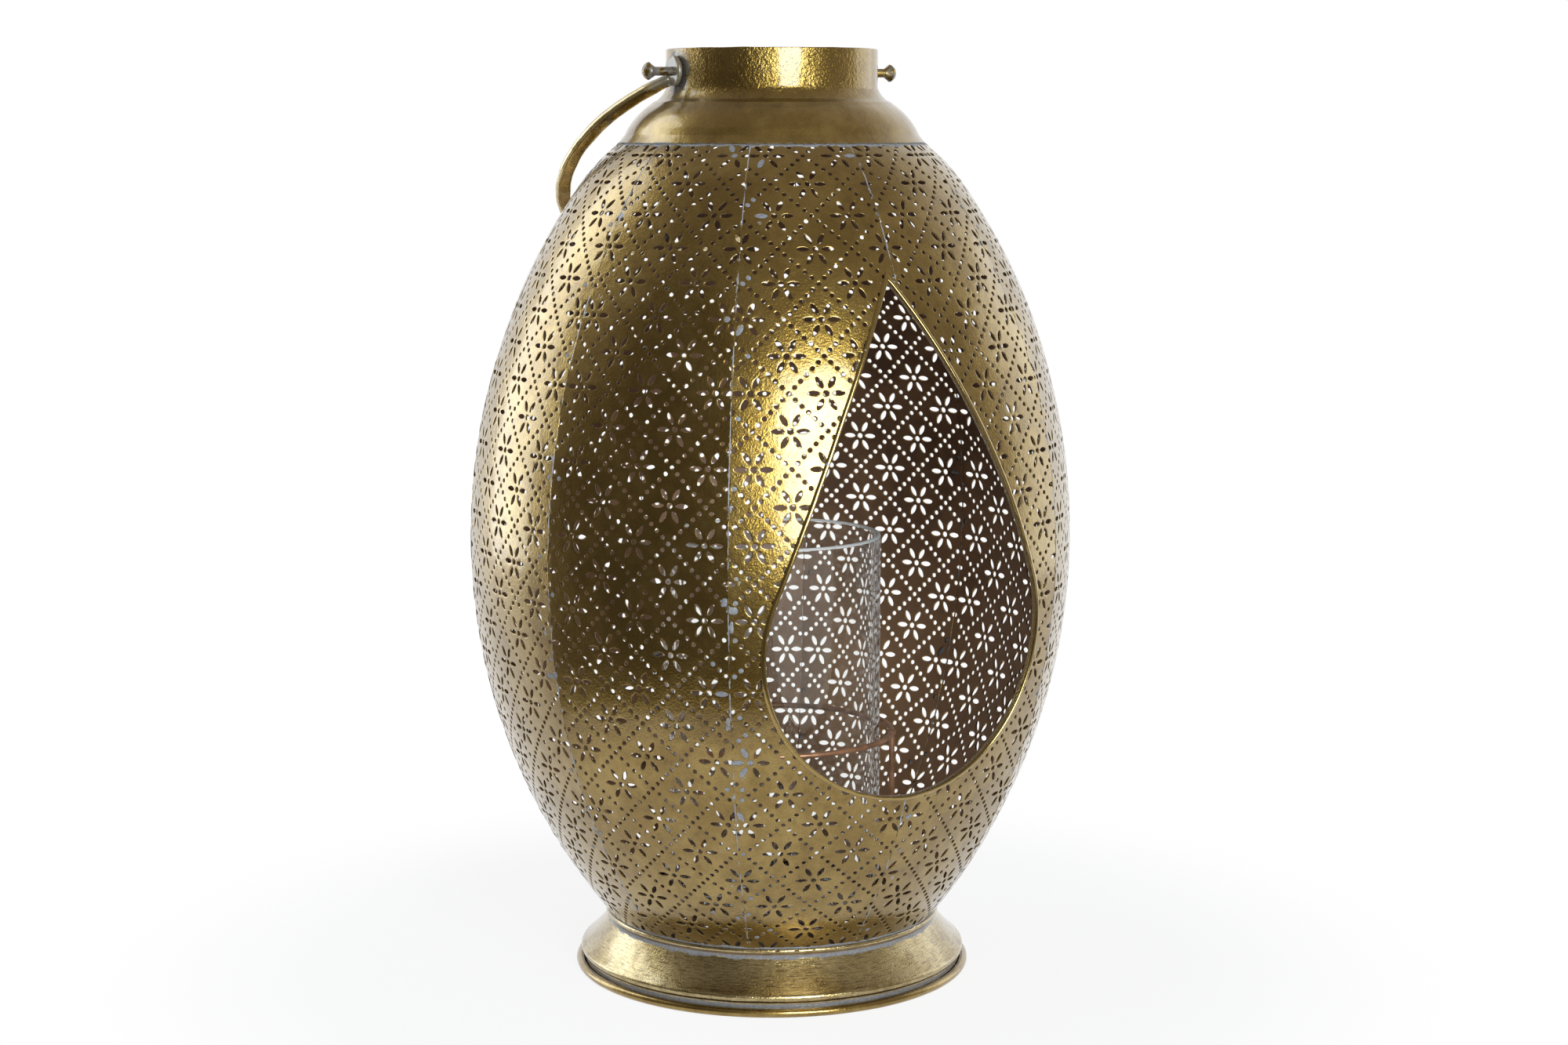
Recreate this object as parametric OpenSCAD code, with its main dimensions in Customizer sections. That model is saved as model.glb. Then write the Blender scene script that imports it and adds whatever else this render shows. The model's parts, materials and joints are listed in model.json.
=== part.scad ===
// Egg-shaped candle lantern of sheet metal: ten soldered gores with a teardrop window,
// a spun collar with a swinging bail, a flared foot, and a glass cylinder in a wire holder.
// Millimetres. The origin is on the ground at the middle of the foot, +Z is up, and the
// window faces -Y.

/* [Egg shell] */
// Largest outer radius of the egg
egg_r = 150; // [135:1:170]
// Height from the foot's top bead up to the widest place
egg_low_h = 190; // [165:1:220]
// Height from the widest place up to the collar's lip
egg_up_h = 195; // [170:1:225]
// Thickness of the gores' sheet metal
shell_wall = 0.8; // [0.5:0.1:1.5]
// How far the shoulder turns in below the collar
shoulder_in = 3.9; // [2:0.1:7]
// Radius of the shoulder's arc below the collar
shoulder_arc = 88; // [60:1:130]
// Width of the soldered seams at the widest place
seam_w = 0.9; // [0.5:0.1:2]
// How far a seam's solder stands proud of the sheet, inside and out
seam_proud = 0.25; // [0.1:0.05:0.6]

/* [Piercing] */
// Width of an opening in the sheet at the widest place, where each opening stands for a few flowers
pierce_w = 31; // [16:0.5:36]
// Height of an opening
pierce_h = 29; // [14:0.5:32]
// Distance from the end rows of openings to the foot and to the lip
pierce_end = 9; // [5:0.5:16]
// Least distance from an opening to the window's hole
pierce_rim = 5; // [3:0.5:15]

/* [Window] */
// Radius of the round lower part of the hole in the sheet
window_r = 74.5; // [55:0.5:85]
// Height of the hole from its lowest point to its tip
window_h = 244; // [200:1:260]
// Height of the hole's lowest point above the foot's top bead
window_low_h = 82.5; // [60:0.5:105]
// Radius of the hole's two flanks
flank_arc = 800; // [500:10:2000]
// Lean of the hole's tip to the left, in degrees
window_lean = 1.5; // [0:0.5:5]
// Width of the turned rim
rim_w = 1.5; // [1:0.1:3]
// How far the rim stands proud of the shell
rim_proud = 0.7; // [0.3:0.1:2]
// Depth of the rim from its outer edge inwards
rim_depth = 4; // [2.5:0.1:8]

/* [Collar] */
// Outer radius of the neck
neck_r = 52; // [45:0.5:58]
// Height of the neck's straight part
neck_h = 18.6; // [14:0.2:30]
// Outer radius of the flared lip
lip_r = 75.2; // [70:0.1:85]
// Height of the lip's flare
lip_h = 4.2; // [2:0.1:8]
// How far the lip flares out
lip_flare = 2.9; // [1:0.1:4]
// Height of the dome above the lip
dome_h = 15.2; // [12:0.1:20]
// Radius of the dome's arc
dome_arc = 36; // [24:1:80]
// Height of the cove between the dome and the neck
cove_h = 7.4; // [5:0.1:12]
// Width of the cove
cove_w = 6.6; // [4:0.1:9]
// Radius of the cove's arc
cove_arc = 14; // [10:1:30]
// Thickness of the collar's sheet metal
collar_wall = 0.8; // [0.5:0.1:1.2]

/* [Foot] */
// Outer radius of the ring that the lantern stands on
foot_r = 100; // [98:0.5:112]
// Radius of the ring's rolled edge
ring_bead_r = 2.1; // [1.5:0.1:3]
// Width of the ring's flat flange under the skirt
ring_flange_w = 8; // [4:0.5:12]
// Depth of the flat on the underside of the rolled edge
ring_flat = 0.25; // [0.1:0.05:0.5]
// Thickness of the foot's sheet metal
foot_wall = 0.8; // [0.5:0.1:1.2]
// Height of the flare's widest place above the ground
flare_low_h = 9.6; // [8:0.1:14]
// Height of the flare above its widest place
flare_h = 14.6; // [10:0.1:30]
// How far the flare's widest place stays inside the ring's outer edge
flare_inset = 2.7; // [2:0.1:3.5]
// Radius of the flare's hollow arc
flare_arc = 75; // [40:1:200]
// Height of the rolled turn under the flare
turn_h = 3.6; // [2.5:0.1:4.5]
// Radius of the rolled turn under the flare
turn_arc = 2.8; // [2.4:0.1:5]
// Radius of the foot's neck and of the middle of the bead on it
foot_neck_r = 83.3; // [79:0.1:90]
// Height of the foot's neck under the floor plate
foot_neck_h = 1.8; // [1:0.1:5]
// Radius of the bead under the egg
top_bead_r = 1.5; // [1:0.1:2.5]
// Depth of the flats where the bead meets the plate and the egg
top_bead_flat = 0.3; // [0.2:0.05:0.4]
// Thickness of the floor plate
plate_t = 0.8; // [0.5:0.1:2]

/* [Glass] */
// Outer radius of the glass cylinder
glass_r = 54.7; // [45:0.1:58]
// Height of the glass cylinder
glass_h = 193; // [150:1:200]
// Thickness of its wall
glass_wall = 2.4; // [1.5:0.1:4]
// Thickness of its bottom
glass_floor = 4; // [2:0.5:8]

/* [Wire holder] */
// Radius of the ring's centre line
holder_r = 61; // [59:0.5:66]
// Height of the ring's centre line above the floor plate
holder_h = 92; // [60:1:120]
// Radius of the wire
wire_r = 1.4; // [1:0.1:2]
// Radius of the bend at the foot of a leg
leg_bend_r = 4; // [3:0.5:6]
// Length of the straight foot of a leg
leg_foot_l = 7; // [3:0.5:9]
// Depth of the flat under a leg's foot
leg_flat = 0.2; // [0.1:0.05:0.4]
// Direction of the first leg, in degrees from +X
leg_angle = -33.5; // [-90:0.5:90]

/* [Bail] */
// Radius of the centre line of the bail's arch
bail_r = 83; // [78:0.5:90]
// Width of the bail's bar across the arch
bar_w = 7.8; // [6:0.1:9]
// Thickness of the bail's bar
bar_t = 6; // [4:0.1:7]
// Height of the bar's upright sides below its ridge
bar_side = 2.4; // [1.5:0.1:3]
// Width of the bar's ridge
bar_ridge = 1.2; // [0.6:0.1:2]
// Width of the bar's chamfers
bar_chamfer = 0.8; // [0.4:0.1:1.2]
// Radius of an eyelet
eyelet_r = 7.5; // [6:0.1:9]
// Thickness of an eyelet
eyelet_t = 2.5; // [1.5:0.1:3.5]
// Gap between an eyelet and the neck
eyelet_gap = 0.5; // [0.3:0.1:1]
// Gap between the resting bail and the shoulder
rest_gap = 0.3; // [0.2:0.1:1]

/* [Pins] */
// Height of the pins above the foot of the neck
pin_h = 7.6; // [6:0.1:11]
// Radius of a pin's shank
pin_r = 2.15; // [1.5:0.05:2.6]
// Distance from the neck to a pin's tip
pin_reach = 18.4; // [14:0.1:24]
// Radius of a pin's head
pin_head_r = 4.3; // [3.5:0.1:5.5]
// Length of the head's cone
pin_cone_l = 3; // [2:0.1:4]
// Length of the head's dome
pin_dome_l = 3; // [1.5:0.1:3.4]
// Length of thread inside the nut
pin_end = 1; // [0.5:0.1:2]
// Radius of a nut across its corners
nut_r = 4; // [3.4:0.1:5]
// Thickness of a nut
nut_t = 2.6; // [2:0.1:4]
// Radial clearance of the eyelets on the pins
swing_fit = 0.08; // [0.03:0.01:0.1]
// Radial clearance of the pins in the neck and in the nuts
pin_fit = 0.05; // [0.02:0.01:0.1]

/* [Hidden] */
$fn = 96;
// Steps in a full circle of the window's flanks, whose radius is large
flank_steps = 720;

// Gores in the egg, the angle of one, and the direction of the window
gore_count = 10;
gore_angle = 360 / gore_count;
front_angle = -90;
leg_count = 3;
// Steps in each drawn arc of a spun profile, and in the egg's outline
arc_steps = 8;
wall_steps = 32;
// Overrun of every cutting solid
overrun = 5;

gold = [0.60, 0.50, 0.24];
solder = [0.62, 0.62, 0.60];
iron = [0.45, 0.38, 0.22];
copper = [0.50, 0.30, 0.18];
clear_glass = [0.85, 0.92, 0.92, 0.35];

// Heights from the ground up
ring_bead_z = ring_bead_r - ring_flat;
plate_z = flare_low_h + flare_h + foot_neck_h;
plate_top_z = plate_z + plate_t;
top_bead_half = top_bead_r - top_bead_flat;
top_bead_z = plate_top_z + top_bead_half;
foot_top_z = top_bead_z + top_bead_half;
egg_z = foot_top_z + egg_low_h;
lip_z = egg_z + egg_up_h;
neck_z = lip_z + lip_h + dome_h + cove_h;
top_z = neck_z + neck_h;
pin_z = neck_z + pin_h;
glass_z = plate_top_z + rest_gap;
holder_z = plate_top_z + holder_h;
window_z = foot_top_z + window_low_h + window_r;

// Arcs of the egg's outline: the lower one from the foot to the widest place, the upper one
// past it, and the shoulder's, which touches the upper one from inside and ends at the lip
egg_foot_r = foot_neck_r + shell_wall / 2;
low_drop = egg_r - egg_foot_r;
low_arc = (low_drop * low_drop + egg_low_h * egg_low_h) / (2 * low_drop);
up_drop = egg_r - lip_r - shoulder_in;
up_arc = (up_drop * up_drop + egg_up_h * egg_up_h) / (2 * up_drop);
up_centre = [egg_r - up_arc, egg_z];
lip_point = [lip_r, lip_z];
lip_span = lip_point - up_centre;
lip_reach = norm(lip_span);
arc_rest = up_arc - shoulder_arc;
shoulder_turn = acos((lip_reach * lip_reach + arc_rest * arc_rest - shoulder_arc * shoulder_arc)
    / (2 * lip_reach * arc_rest));
shoulder_angle = atan2(lip_span[1], lip_span[0]) - shoulder_turn;
shoulder_centre = up_centre + arc_rest * [cos(shoulder_angle), sin(shoulder_angle)];
shoulder_z = egg_z + up_arc * sin(shoulder_angle);

// Seams
seam_angle = atan(seam_w / egg_r);

// Window: centres of the flank arcs, measured from the centre of the round part
window_tip = window_h - window_r;
flank_z = (window_tip * window_tip - 2 * flank_arc * window_r + window_r * window_r) / (2 * window_tip);
flank_x = sqrt((flank_arc - window_r) * (flank_arc - window_r) - flank_z * flank_z);
flank_touch_share = -flank_z / (flank_arc - window_r);

// Piercing: two columns of openings in each gore, and their rows from the foot up
pierce_rows = 10;
pierce_turn = gore_angle / 4;
pierce_reach = atan(pierce_w / (2 * egg_r));
pierce_low_z = foot_top_z + pierce_end + pierce_h / 2;
pierce_high_z = lip_z - pierce_end - pierce_h / 2;
pierce_rise = (pierce_high_z - pierce_low_z) / (pierce_rows - 1);

// Bail: the eyelets sit beside the neck, and the arch runs from one to the other
eyelet_x = neck_r + eyelet_gap;
eyelet_mid = eyelet_x + eyelet_t / 2;
eyelet_reach_share = 0.75;
arch_end = acos(eyelet_mid / bail_r);
arch_z = bail_r * sin(arch_end) + eyelet_r * eyelet_reach_share;
// The bar's inner corner at the top of the arch comes to rest on the upper arc of the egg
inner_corner = [arch_z + bail_r - bar_w / 2, bar_t / 2];
corner_reach = norm(inner_corner);
corner_angle = atan(inner_corner[1] / inner_corner[0]);
to_centre = [up_centre[0], up_centre[1] - pin_z];
centre_reach = norm(to_centre);
contact = up_arc + rest_gap;
contact_cos = (corner_reach * corner_reach + centre_reach * centre_reach - contact * contact)
    / (2 * corner_reach * centre_reach);
bail_rest = 360 + atan2(to_centre[0], to_centre[1]) - acos(contact_cos) - corner_angle;

// Pins
nut_x = sqrt((neck_r - collar_wall) * (neck_r - collar_wall) - nut_r * nut_r) - pin_fit;
pin_x = nut_x - nut_t - pin_end;
pin_l = neck_r + pin_reach - pin_x;
shank_l = pin_l - pin_cone_l - pin_dome_l;

function unit(v) = v / norm(v);
// The left-hand normal of a direction
function left(v) = [-v[1], v[0]];

// Points after p, up to and with q, along an arc of radius r, which bulges to the right of the
// way from p to q, or to the left where r is negative
function arc(p, q, r) =
    let (
        chord = norm(q - p) / 2,
        side = r < 0 ? -1 : 1,
        centre = (p + q) / 2 + side * sqrt(r * r - chord * chord) * left(unit(q - p)),
        start = atan2(p[1] - centre[1], p[0] - centre[0]),
        turn = side * 2 * asin(chord / abs(r))
    )
    concat(
        [for (i = [1 : arc_steps - 1])
            let (angle = start + turn * i / arc_steps)
            centre + abs(r) * [cos(angle), sin(angle)]],
        [q]
    );

// The points of an outline moved to its left by t
function inset(points, t) =
    let (last = len(points) - 1)
    [for (i = [0 : last])
        let (
            before = unit(points[max(i, 1)] - points[max(i, 1) - 1]),
            after = unit(points[min(i, last - 1) + 1] - points[min(i, last - 1)]),
            across = unit(left(before) + left(after))
        )
        points[i] + across * t / (across * left(before))];

function reversed(points) = [for (i = [len(points) - 1 : -1 : 0]) points[i]];

// Outline of a sheet whose outer face follows the points, which run upwards
module sheet_outline(points, t) {
    polygon(concat(points, reversed(inset(points, t))));
}

// The part of a half plane right of the axis between two heights
module band(low, high, reach) {
    translate([0, low])
        square([reach, high - low]);
}

// Radius of the egg at a height, grown by g
function wall_r(z, g) =
    let (
        centre = z > shoulder_z ? shoulder_centre : [egg_r - (z > egg_z ? up_arc : low_arc), egg_z],
        radius = z > shoulder_z ? shoulder_arc : z > egg_z ? up_arc : low_arc,
        rise = z - centre[1]
    )
    centre[0] + sqrt((radius + g) * (radius + g) - rise * rise);

// Distance from the window's hole to a place seen from the front, below zero inside the hole
function window_gap(x, z) =
    let (
        rise = z - window_z,
        across = x * cos(window_lean) + rise * sin(window_lean),
        up = rise * cos(window_lean) - x * sin(window_lean)
    )
    up > window_r * flank_touch_share
        ? norm([abs(across) + flank_x, up - flank_z]) - flank_arc
        : norm([across, up]) - window_r;

// Least distance from the window's hole to the corners of an opening
function pierce_gap(angle, z) =
    let (r = wall_r(z, 0))
    min(
        window_gap(r * cos(angle - pierce_reach), z),
        window_gap(r * cos(angle + pierce_reach), z),
        window_gap(r * cos(angle), z - pierce_h / 2),
        window_gap(r * cos(angle), z + pierce_h / 2)
    );

// Outline of a wall that follows the egg from the foot to the lip, between two offsets of it
module wall_outline(outer, inner) {
    heights = [for (i = [0 : wall_steps]) foot_top_z + (lip_z - foot_top_z) * i / wall_steps];
    polygon(concat(
        [for (z = heights) [wall_r(z, outer), z]],
        [for (z = reversed(heights)) [wall_r(z, inner), z]]
    ));
}

// A slice of that wall, from one angle on through another
module wall_slice(outer, inner, start, turn) {
    rotate([0, 0, start])
        rotate_extrude(angle = turn)
            wall_outline(outer, inner);
}

// The teardrop of the window, grown by g, about the centre of its round part
module teardrop(g) {
    circle(r = window_r + g);
    intersection() {
        translate([-flank_x, flank_z])
            circle(r = flank_arc + g, $fn = flank_steps);
        translate([flank_x, flank_z])
            circle(r = flank_arc + g, $fn = flank_steps);
        translate([-window_r - overrun, (window_r + g) * flank_touch_share])
            square([2 * (window_r + overrun), window_h]);
    }
}

// The teardrop placed on the front of the egg and pushed through it
module window_prism(g) {
    rotate([90, 0, 0])
        linear_extrude(height = egg_r + overrun)
            translate([0, window_z])
                rotate(window_lean)
                    teardrop(g);
}

// A lozenge pushed out from the axis, as wide as the egg is wide at its height
module piercing(angle, z) {
    half_w = wall_r(z, 0) * tan(pierce_reach);
    half_h = pierce_h / 2;
    rotate([0, 0, angle])
        translate([0, 0, z])
            rotate([90, 0, 90])
                linear_extrude(height = egg_r + overrun)
                    polygon([[-half_w, 0], [0, -half_h], [half_w, 0], [0, half_h]]);
}

module gore(i) {
    middle = front_angle + (i - 1) * gore_angle + gore_angle / 2;
    beside_window = i == 1 || i == gore_count;
    color(gold)
        difference() {
            wall_slice(0, -shell_wall, front_angle + (i - 1) * gore_angle + seam_angle / 2,
                gore_angle - seam_angle);
            for (side = [-1, 1])
                for (row = [0 : pierce_rows - 1])
                    let (angle = middle + side * pierce_turn, z = pierce_low_z + row * pierce_rise)
                        if (!beside_window || pierce_gap(angle, z) > pierce_rim)
                            piercing(angle, z);
            if (beside_window)
                window_prism(0);
        }
}

module seam_welds() {
    color(solder)
        for (i = [0 : gore_count - 1])
            difference() {
                wall_slice(seam_proud, -shell_wall - seam_proud,
                    front_angle + i * gore_angle - seam_angle / 2, seam_angle);
                if (i == 0)
                    window_prism(0);
            }
}

module window_rim() {
    color(gold)
        intersection() {
            wall_slice(rim_proud, rim_proud - rim_depth, front_angle - 90, 180);
            difference() {
                window_prism(0);
                translate([0, overrun, 0])
                    window_prism(-rim_w);
                translate([0, -overrun, 0])
                    window_prism(-rim_w);
            }
        }
}

module neck_collar() {
    dome_low = [lip_r - lip_flare, lip_z + lip_h];
    dome_top = [neck_r + cove_w, lip_z + lip_h + dome_h];
    outer = concat(
        [[lip_r + lip_flare, lip_z - lip_h], dome_low],
        arc(dome_low, dome_top, dome_arc),
        arc(dome_top, [neck_r, neck_z], -cove_arc),
        [[neck_r, top_z]]
    );
    color(gold)
        difference() {
            rotate_extrude()
                intersection() {
                    sheet_outline(outer, collar_wall);
                    band(lip_z, top_z, lip_r + lip_flare);
                }
            translate([-neck_r - overrun, 0, pin_z])
                rotate([0, 90, 0])
                    cylinder(r = pin_r + pin_fit, h = 2 * (neck_r + overrun));
        }
}

module base_top_bead() {
    color(gold)
        rotate_extrude()
            intersection() {
                translate([foot_neck_r, top_bead_z])
                    circle(r = top_bead_r);
                band(plate_top_z, foot_top_z, foot_neck_r + 2 * top_bead_r);
            }
}

module floor_plate() {
    color(iron)
        translate([0, 0, plate_z])
            cylinder(r = foot_neck_r + foot_wall / 2, h = plate_t);
}

module base_flare() {
    skirt_r = foot_r - 2 * ring_bead_r - pin_fit;
    turn_foot = [skirt_r, flare_low_h - turn_h];
    widest = [foot_r - flare_inset, flare_low_h];
    neck_foot = [foot_neck_r + foot_wall / 2, flare_low_h + flare_h];
    outer = concat(
        [[skirt_r, foot_wall], turn_foot],
        arc(turn_foot, widest, turn_arc),
        arc(widest, neck_foot, -flare_arc),
        [[foot_neck_r + foot_wall / 2, plate_z]]
    );
    color(gold)
        rotate_extrude()
            sheet_outline(outer, foot_wall);
}

module base_ring() {
    bead_mid = foot_r - ring_bead_r;
    color(gold)
        rotate_extrude()
            union() {
                intersection() {
                    translate([bead_mid, ring_bead_z])
                        circle(r = ring_bead_r);
                    band(0, 2 * ring_bead_r, foot_r + overrun);
                }
                translate([bead_mid - ring_flange_w, 0])
                    square([ring_flange_w, foot_wall]);
            }
}

module glass_cylinder() {
    lip_mid = glass_h - glass_wall / 2;
    color(clear_glass)
        translate([0, 0, glass_z])
            rotate_extrude()
                union() {
                    square([glass_r, glass_floor]);
                    translate([glass_r - glass_wall, 0])
                        square([glass_wall, lip_mid]);
                    translate([glass_r - glass_wall / 2, lip_mid])
                        circle(r = glass_wall / 2);
                }
}

module holder_ring() {
    color(copper)
        translate([0, 0, holder_z])
            rotate_extrude()
                translate([holder_r, 0])
                    circle(r = wire_r);
}

// One leg: up to the ring, with its foot bent along the ring on the floor plate
module holder_leg(i) {
    foot_z = plate_top_z + wire_r - leg_flat;
    bend_z = foot_z + leg_bend_r;
    color(copper)
        rotate([0, 0, leg_angle + (i - 1) * 360 / leg_count])
            difference() {
                translate([holder_r, 0, 0])
                    rotate([0, 0, 90])
                        union() {
                            translate([0, 0, bend_z])
                                cylinder(r = wire_r, h = holder_z - bend_z);
                            translate([leg_bend_r, 0, bend_z])
                                rotate([90, 0, 0])
                                    rotate([0, 0, 180])
                                        rotate_extrude(angle = 90)
                                            translate([leg_bend_r, 0])
                                                circle(r = wire_r);
                            translate([leg_bend_r, 0, foot_z])
                                rotate([0, 90, 0])
                                    cylinder(r = wire_r, h = leg_foot_l);
                        }
                translate([0, 0, holder_z])
                    rotate_extrude()
                        translate([holder_r, 0])
                            circle(r = wire_r);
                translate([0, -foot_neck_r, plate_z])
                    cube([foot_neck_r, 2 * foot_neck_r, plate_t]);
            }
}

// A pin along +X, from its threaded end inside the neck to its mushroom head
module handle_pin() {
    rim = [pin_head_r, shank_l + pin_cone_l];
    dome_r = (pin_head_r * pin_head_r + pin_dome_l * pin_dome_l) / (2 * pin_dome_l);
    color(iron)
        translate([pin_x, 0, pin_z])
            rotate([0, 90, 0])
                rotate_extrude()
                    polygon(concat(
                        [[0, 0], [pin_r, 0], [pin_r, shank_l], rim],
                        arc(rim, [0, pin_l], dome_r)
                    ));
}

// A nut along +X on the threaded end of a pin
module pin_nut() {
    color(iron)
        translate([nut_x - nut_t, 0, pin_z])
            rotate([0, 90, 0])
                difference() {
                    cylinder(r = nut_r, h = nut_t, $fn = 6);
                    translate([0, 0, -overrun])
                        cylinder(r = pin_r + pin_fit, h = nut_t + 2 * overrun);
                }
}

module right_handle_pin() { handle_pin(); }
module left_handle_pin() { mirror([1, 0, 0]) handle_pin(); }
module right_pin_nut() { pin_nut(); }
module left_pin_nut() { mirror([1, 0, 0]) pin_nut(); }

// Section of the bar: across the arch, and through its thickness with the ridge outwards
module bar_section() {
    half_w = bar_w / 2;
    half_t = bar_t / 2;
    polygon([
        [-half_w, bar_chamfer - half_t], [bar_chamfer - half_w, -half_t],
        [half_w - bar_chamfer, -half_t], [half_w, bar_chamfer - half_t],
        [half_w, bar_side - half_t], [bar_ridge / 2, half_t],
        [-bar_ridge / 2, half_t], [-half_w, bar_side - half_t]
    ]);
}

// The bail, standing up from its pin axis, then laid back on the shoulder
module bail_handle() {
    color(gold)
        translate([0, 0, pin_z])
            rotate([-bail_rest, 0, 0])
                difference() {
                    union() {
                        translate([0, 0, arch_z])
                            rotate([90, 0, 0])
                                rotate([0, 0, -arch_end])
                                    rotate_extrude(angle = 180 + 2 * arch_end)
                                        translate([bail_r, 0])
                                            bar_section();
                        for (side = [-1, 1])
                            translate([side * eyelet_mid - eyelet_t / 2, 0, 0])
                                rotate([0, 90, 0])
                                    cylinder(r = eyelet_r, h = eyelet_t);
                    }
                    translate([-eyelet_x, -eyelet_r, -eyelet_r])
                        cube([2 * eyelet_x, 2 * eyelet_r, 3 * eyelet_r]);
                    translate([-neck_r - pin_reach, 0, 0])
                        rotate([0, 90, 0])
                            cylinder(r = pin_r + swing_fit, h = 2 * (neck_r + pin_reach));
                }
}

neck_collar();
gore(1);  // gore_01
gore(2);  // gore_02
gore(3);  // gore_03
gore(4);  // gore_04
gore(5);  // gore_05
gore(6);  // gore_06
gore(7);  // gore_07
gore(8);  // gore_08
gore(9);  // gore_09
gore(10);  // gore_10
seam_welds();
window_rim();
base_top_bead();
base_flare();
base_ring();
floor_plate();
glass_cylinder();
holder_ring();
holder_leg(1);  // holder_leg_1
holder_leg(2);  // holder_leg_2
holder_leg(3);  // holder_leg_3
left_handle_pin();
right_handle_pin();
left_pin_nut();
right_pin_nut();
bail_handle();
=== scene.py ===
"""Looks of an egg-shaped pierced candle lantern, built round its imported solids.

Lengths are in metres, heights are above the ground, +Z is up along the egg's axis, the window
faces -Y, and directions are angles about the axis, anticlockwise from +X.
"""

import json
import logging
import math
import random
import time
from collections.abc import Iterable, Sequence
from dataclasses import dataclass, field, replace
from enum import Enum
from functools import cached_property

import bpy
import numpy as np
from mathutils import Matrix, Vector, noise
from mathutils.geometry import delaunay_2d_cdt

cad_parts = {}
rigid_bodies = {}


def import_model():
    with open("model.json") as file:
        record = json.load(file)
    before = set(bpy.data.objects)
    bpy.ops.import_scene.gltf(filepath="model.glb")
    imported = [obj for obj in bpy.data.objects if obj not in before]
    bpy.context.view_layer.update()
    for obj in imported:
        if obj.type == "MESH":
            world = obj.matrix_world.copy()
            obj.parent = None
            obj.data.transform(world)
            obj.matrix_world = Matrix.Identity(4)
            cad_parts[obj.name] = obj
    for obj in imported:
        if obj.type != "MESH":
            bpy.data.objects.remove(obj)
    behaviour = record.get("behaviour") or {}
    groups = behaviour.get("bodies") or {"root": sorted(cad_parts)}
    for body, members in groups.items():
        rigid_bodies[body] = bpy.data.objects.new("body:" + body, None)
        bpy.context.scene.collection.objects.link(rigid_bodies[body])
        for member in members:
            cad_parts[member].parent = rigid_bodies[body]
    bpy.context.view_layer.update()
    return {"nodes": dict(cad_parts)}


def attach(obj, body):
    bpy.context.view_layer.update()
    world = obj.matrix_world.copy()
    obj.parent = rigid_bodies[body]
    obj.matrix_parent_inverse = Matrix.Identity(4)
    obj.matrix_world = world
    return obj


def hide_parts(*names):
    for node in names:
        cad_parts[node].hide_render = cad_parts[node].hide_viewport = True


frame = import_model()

log = logging.getLogger("lantern")

MM = 0.001
FULL_TURN = 2 * math.pi
FRONT = -math.pi / 2
# Points that are closer than this are merged
WELD = 1e-6
FINE_WELD = 1e-7
# Height of the line through the pins
PIN_Z = 448.6 * MM
Point = tuple[float, float]
Colour = tuple[float, float, float]
# Size, detail, roughness and shift of a noise
Grain = tuple[float, float, float, float]
Piece = bpy.types.Object
Mesh = tuple[np.ndarray, list[tuple[int, ...]]]
# Depth, size and seed of one layer of dents
Dents = tuple[float, float, float]


class Body(Enum):
    """The moving bodies of the lantern."""

    ROOT = "root"
    BAIL = "bail"
    GLASS = "glass"


class Side(Enum):
    """The two sides of the neck, as signs of X."""

    LEFT = -1
    RIGHT = 1


# Modelling steps


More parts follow.
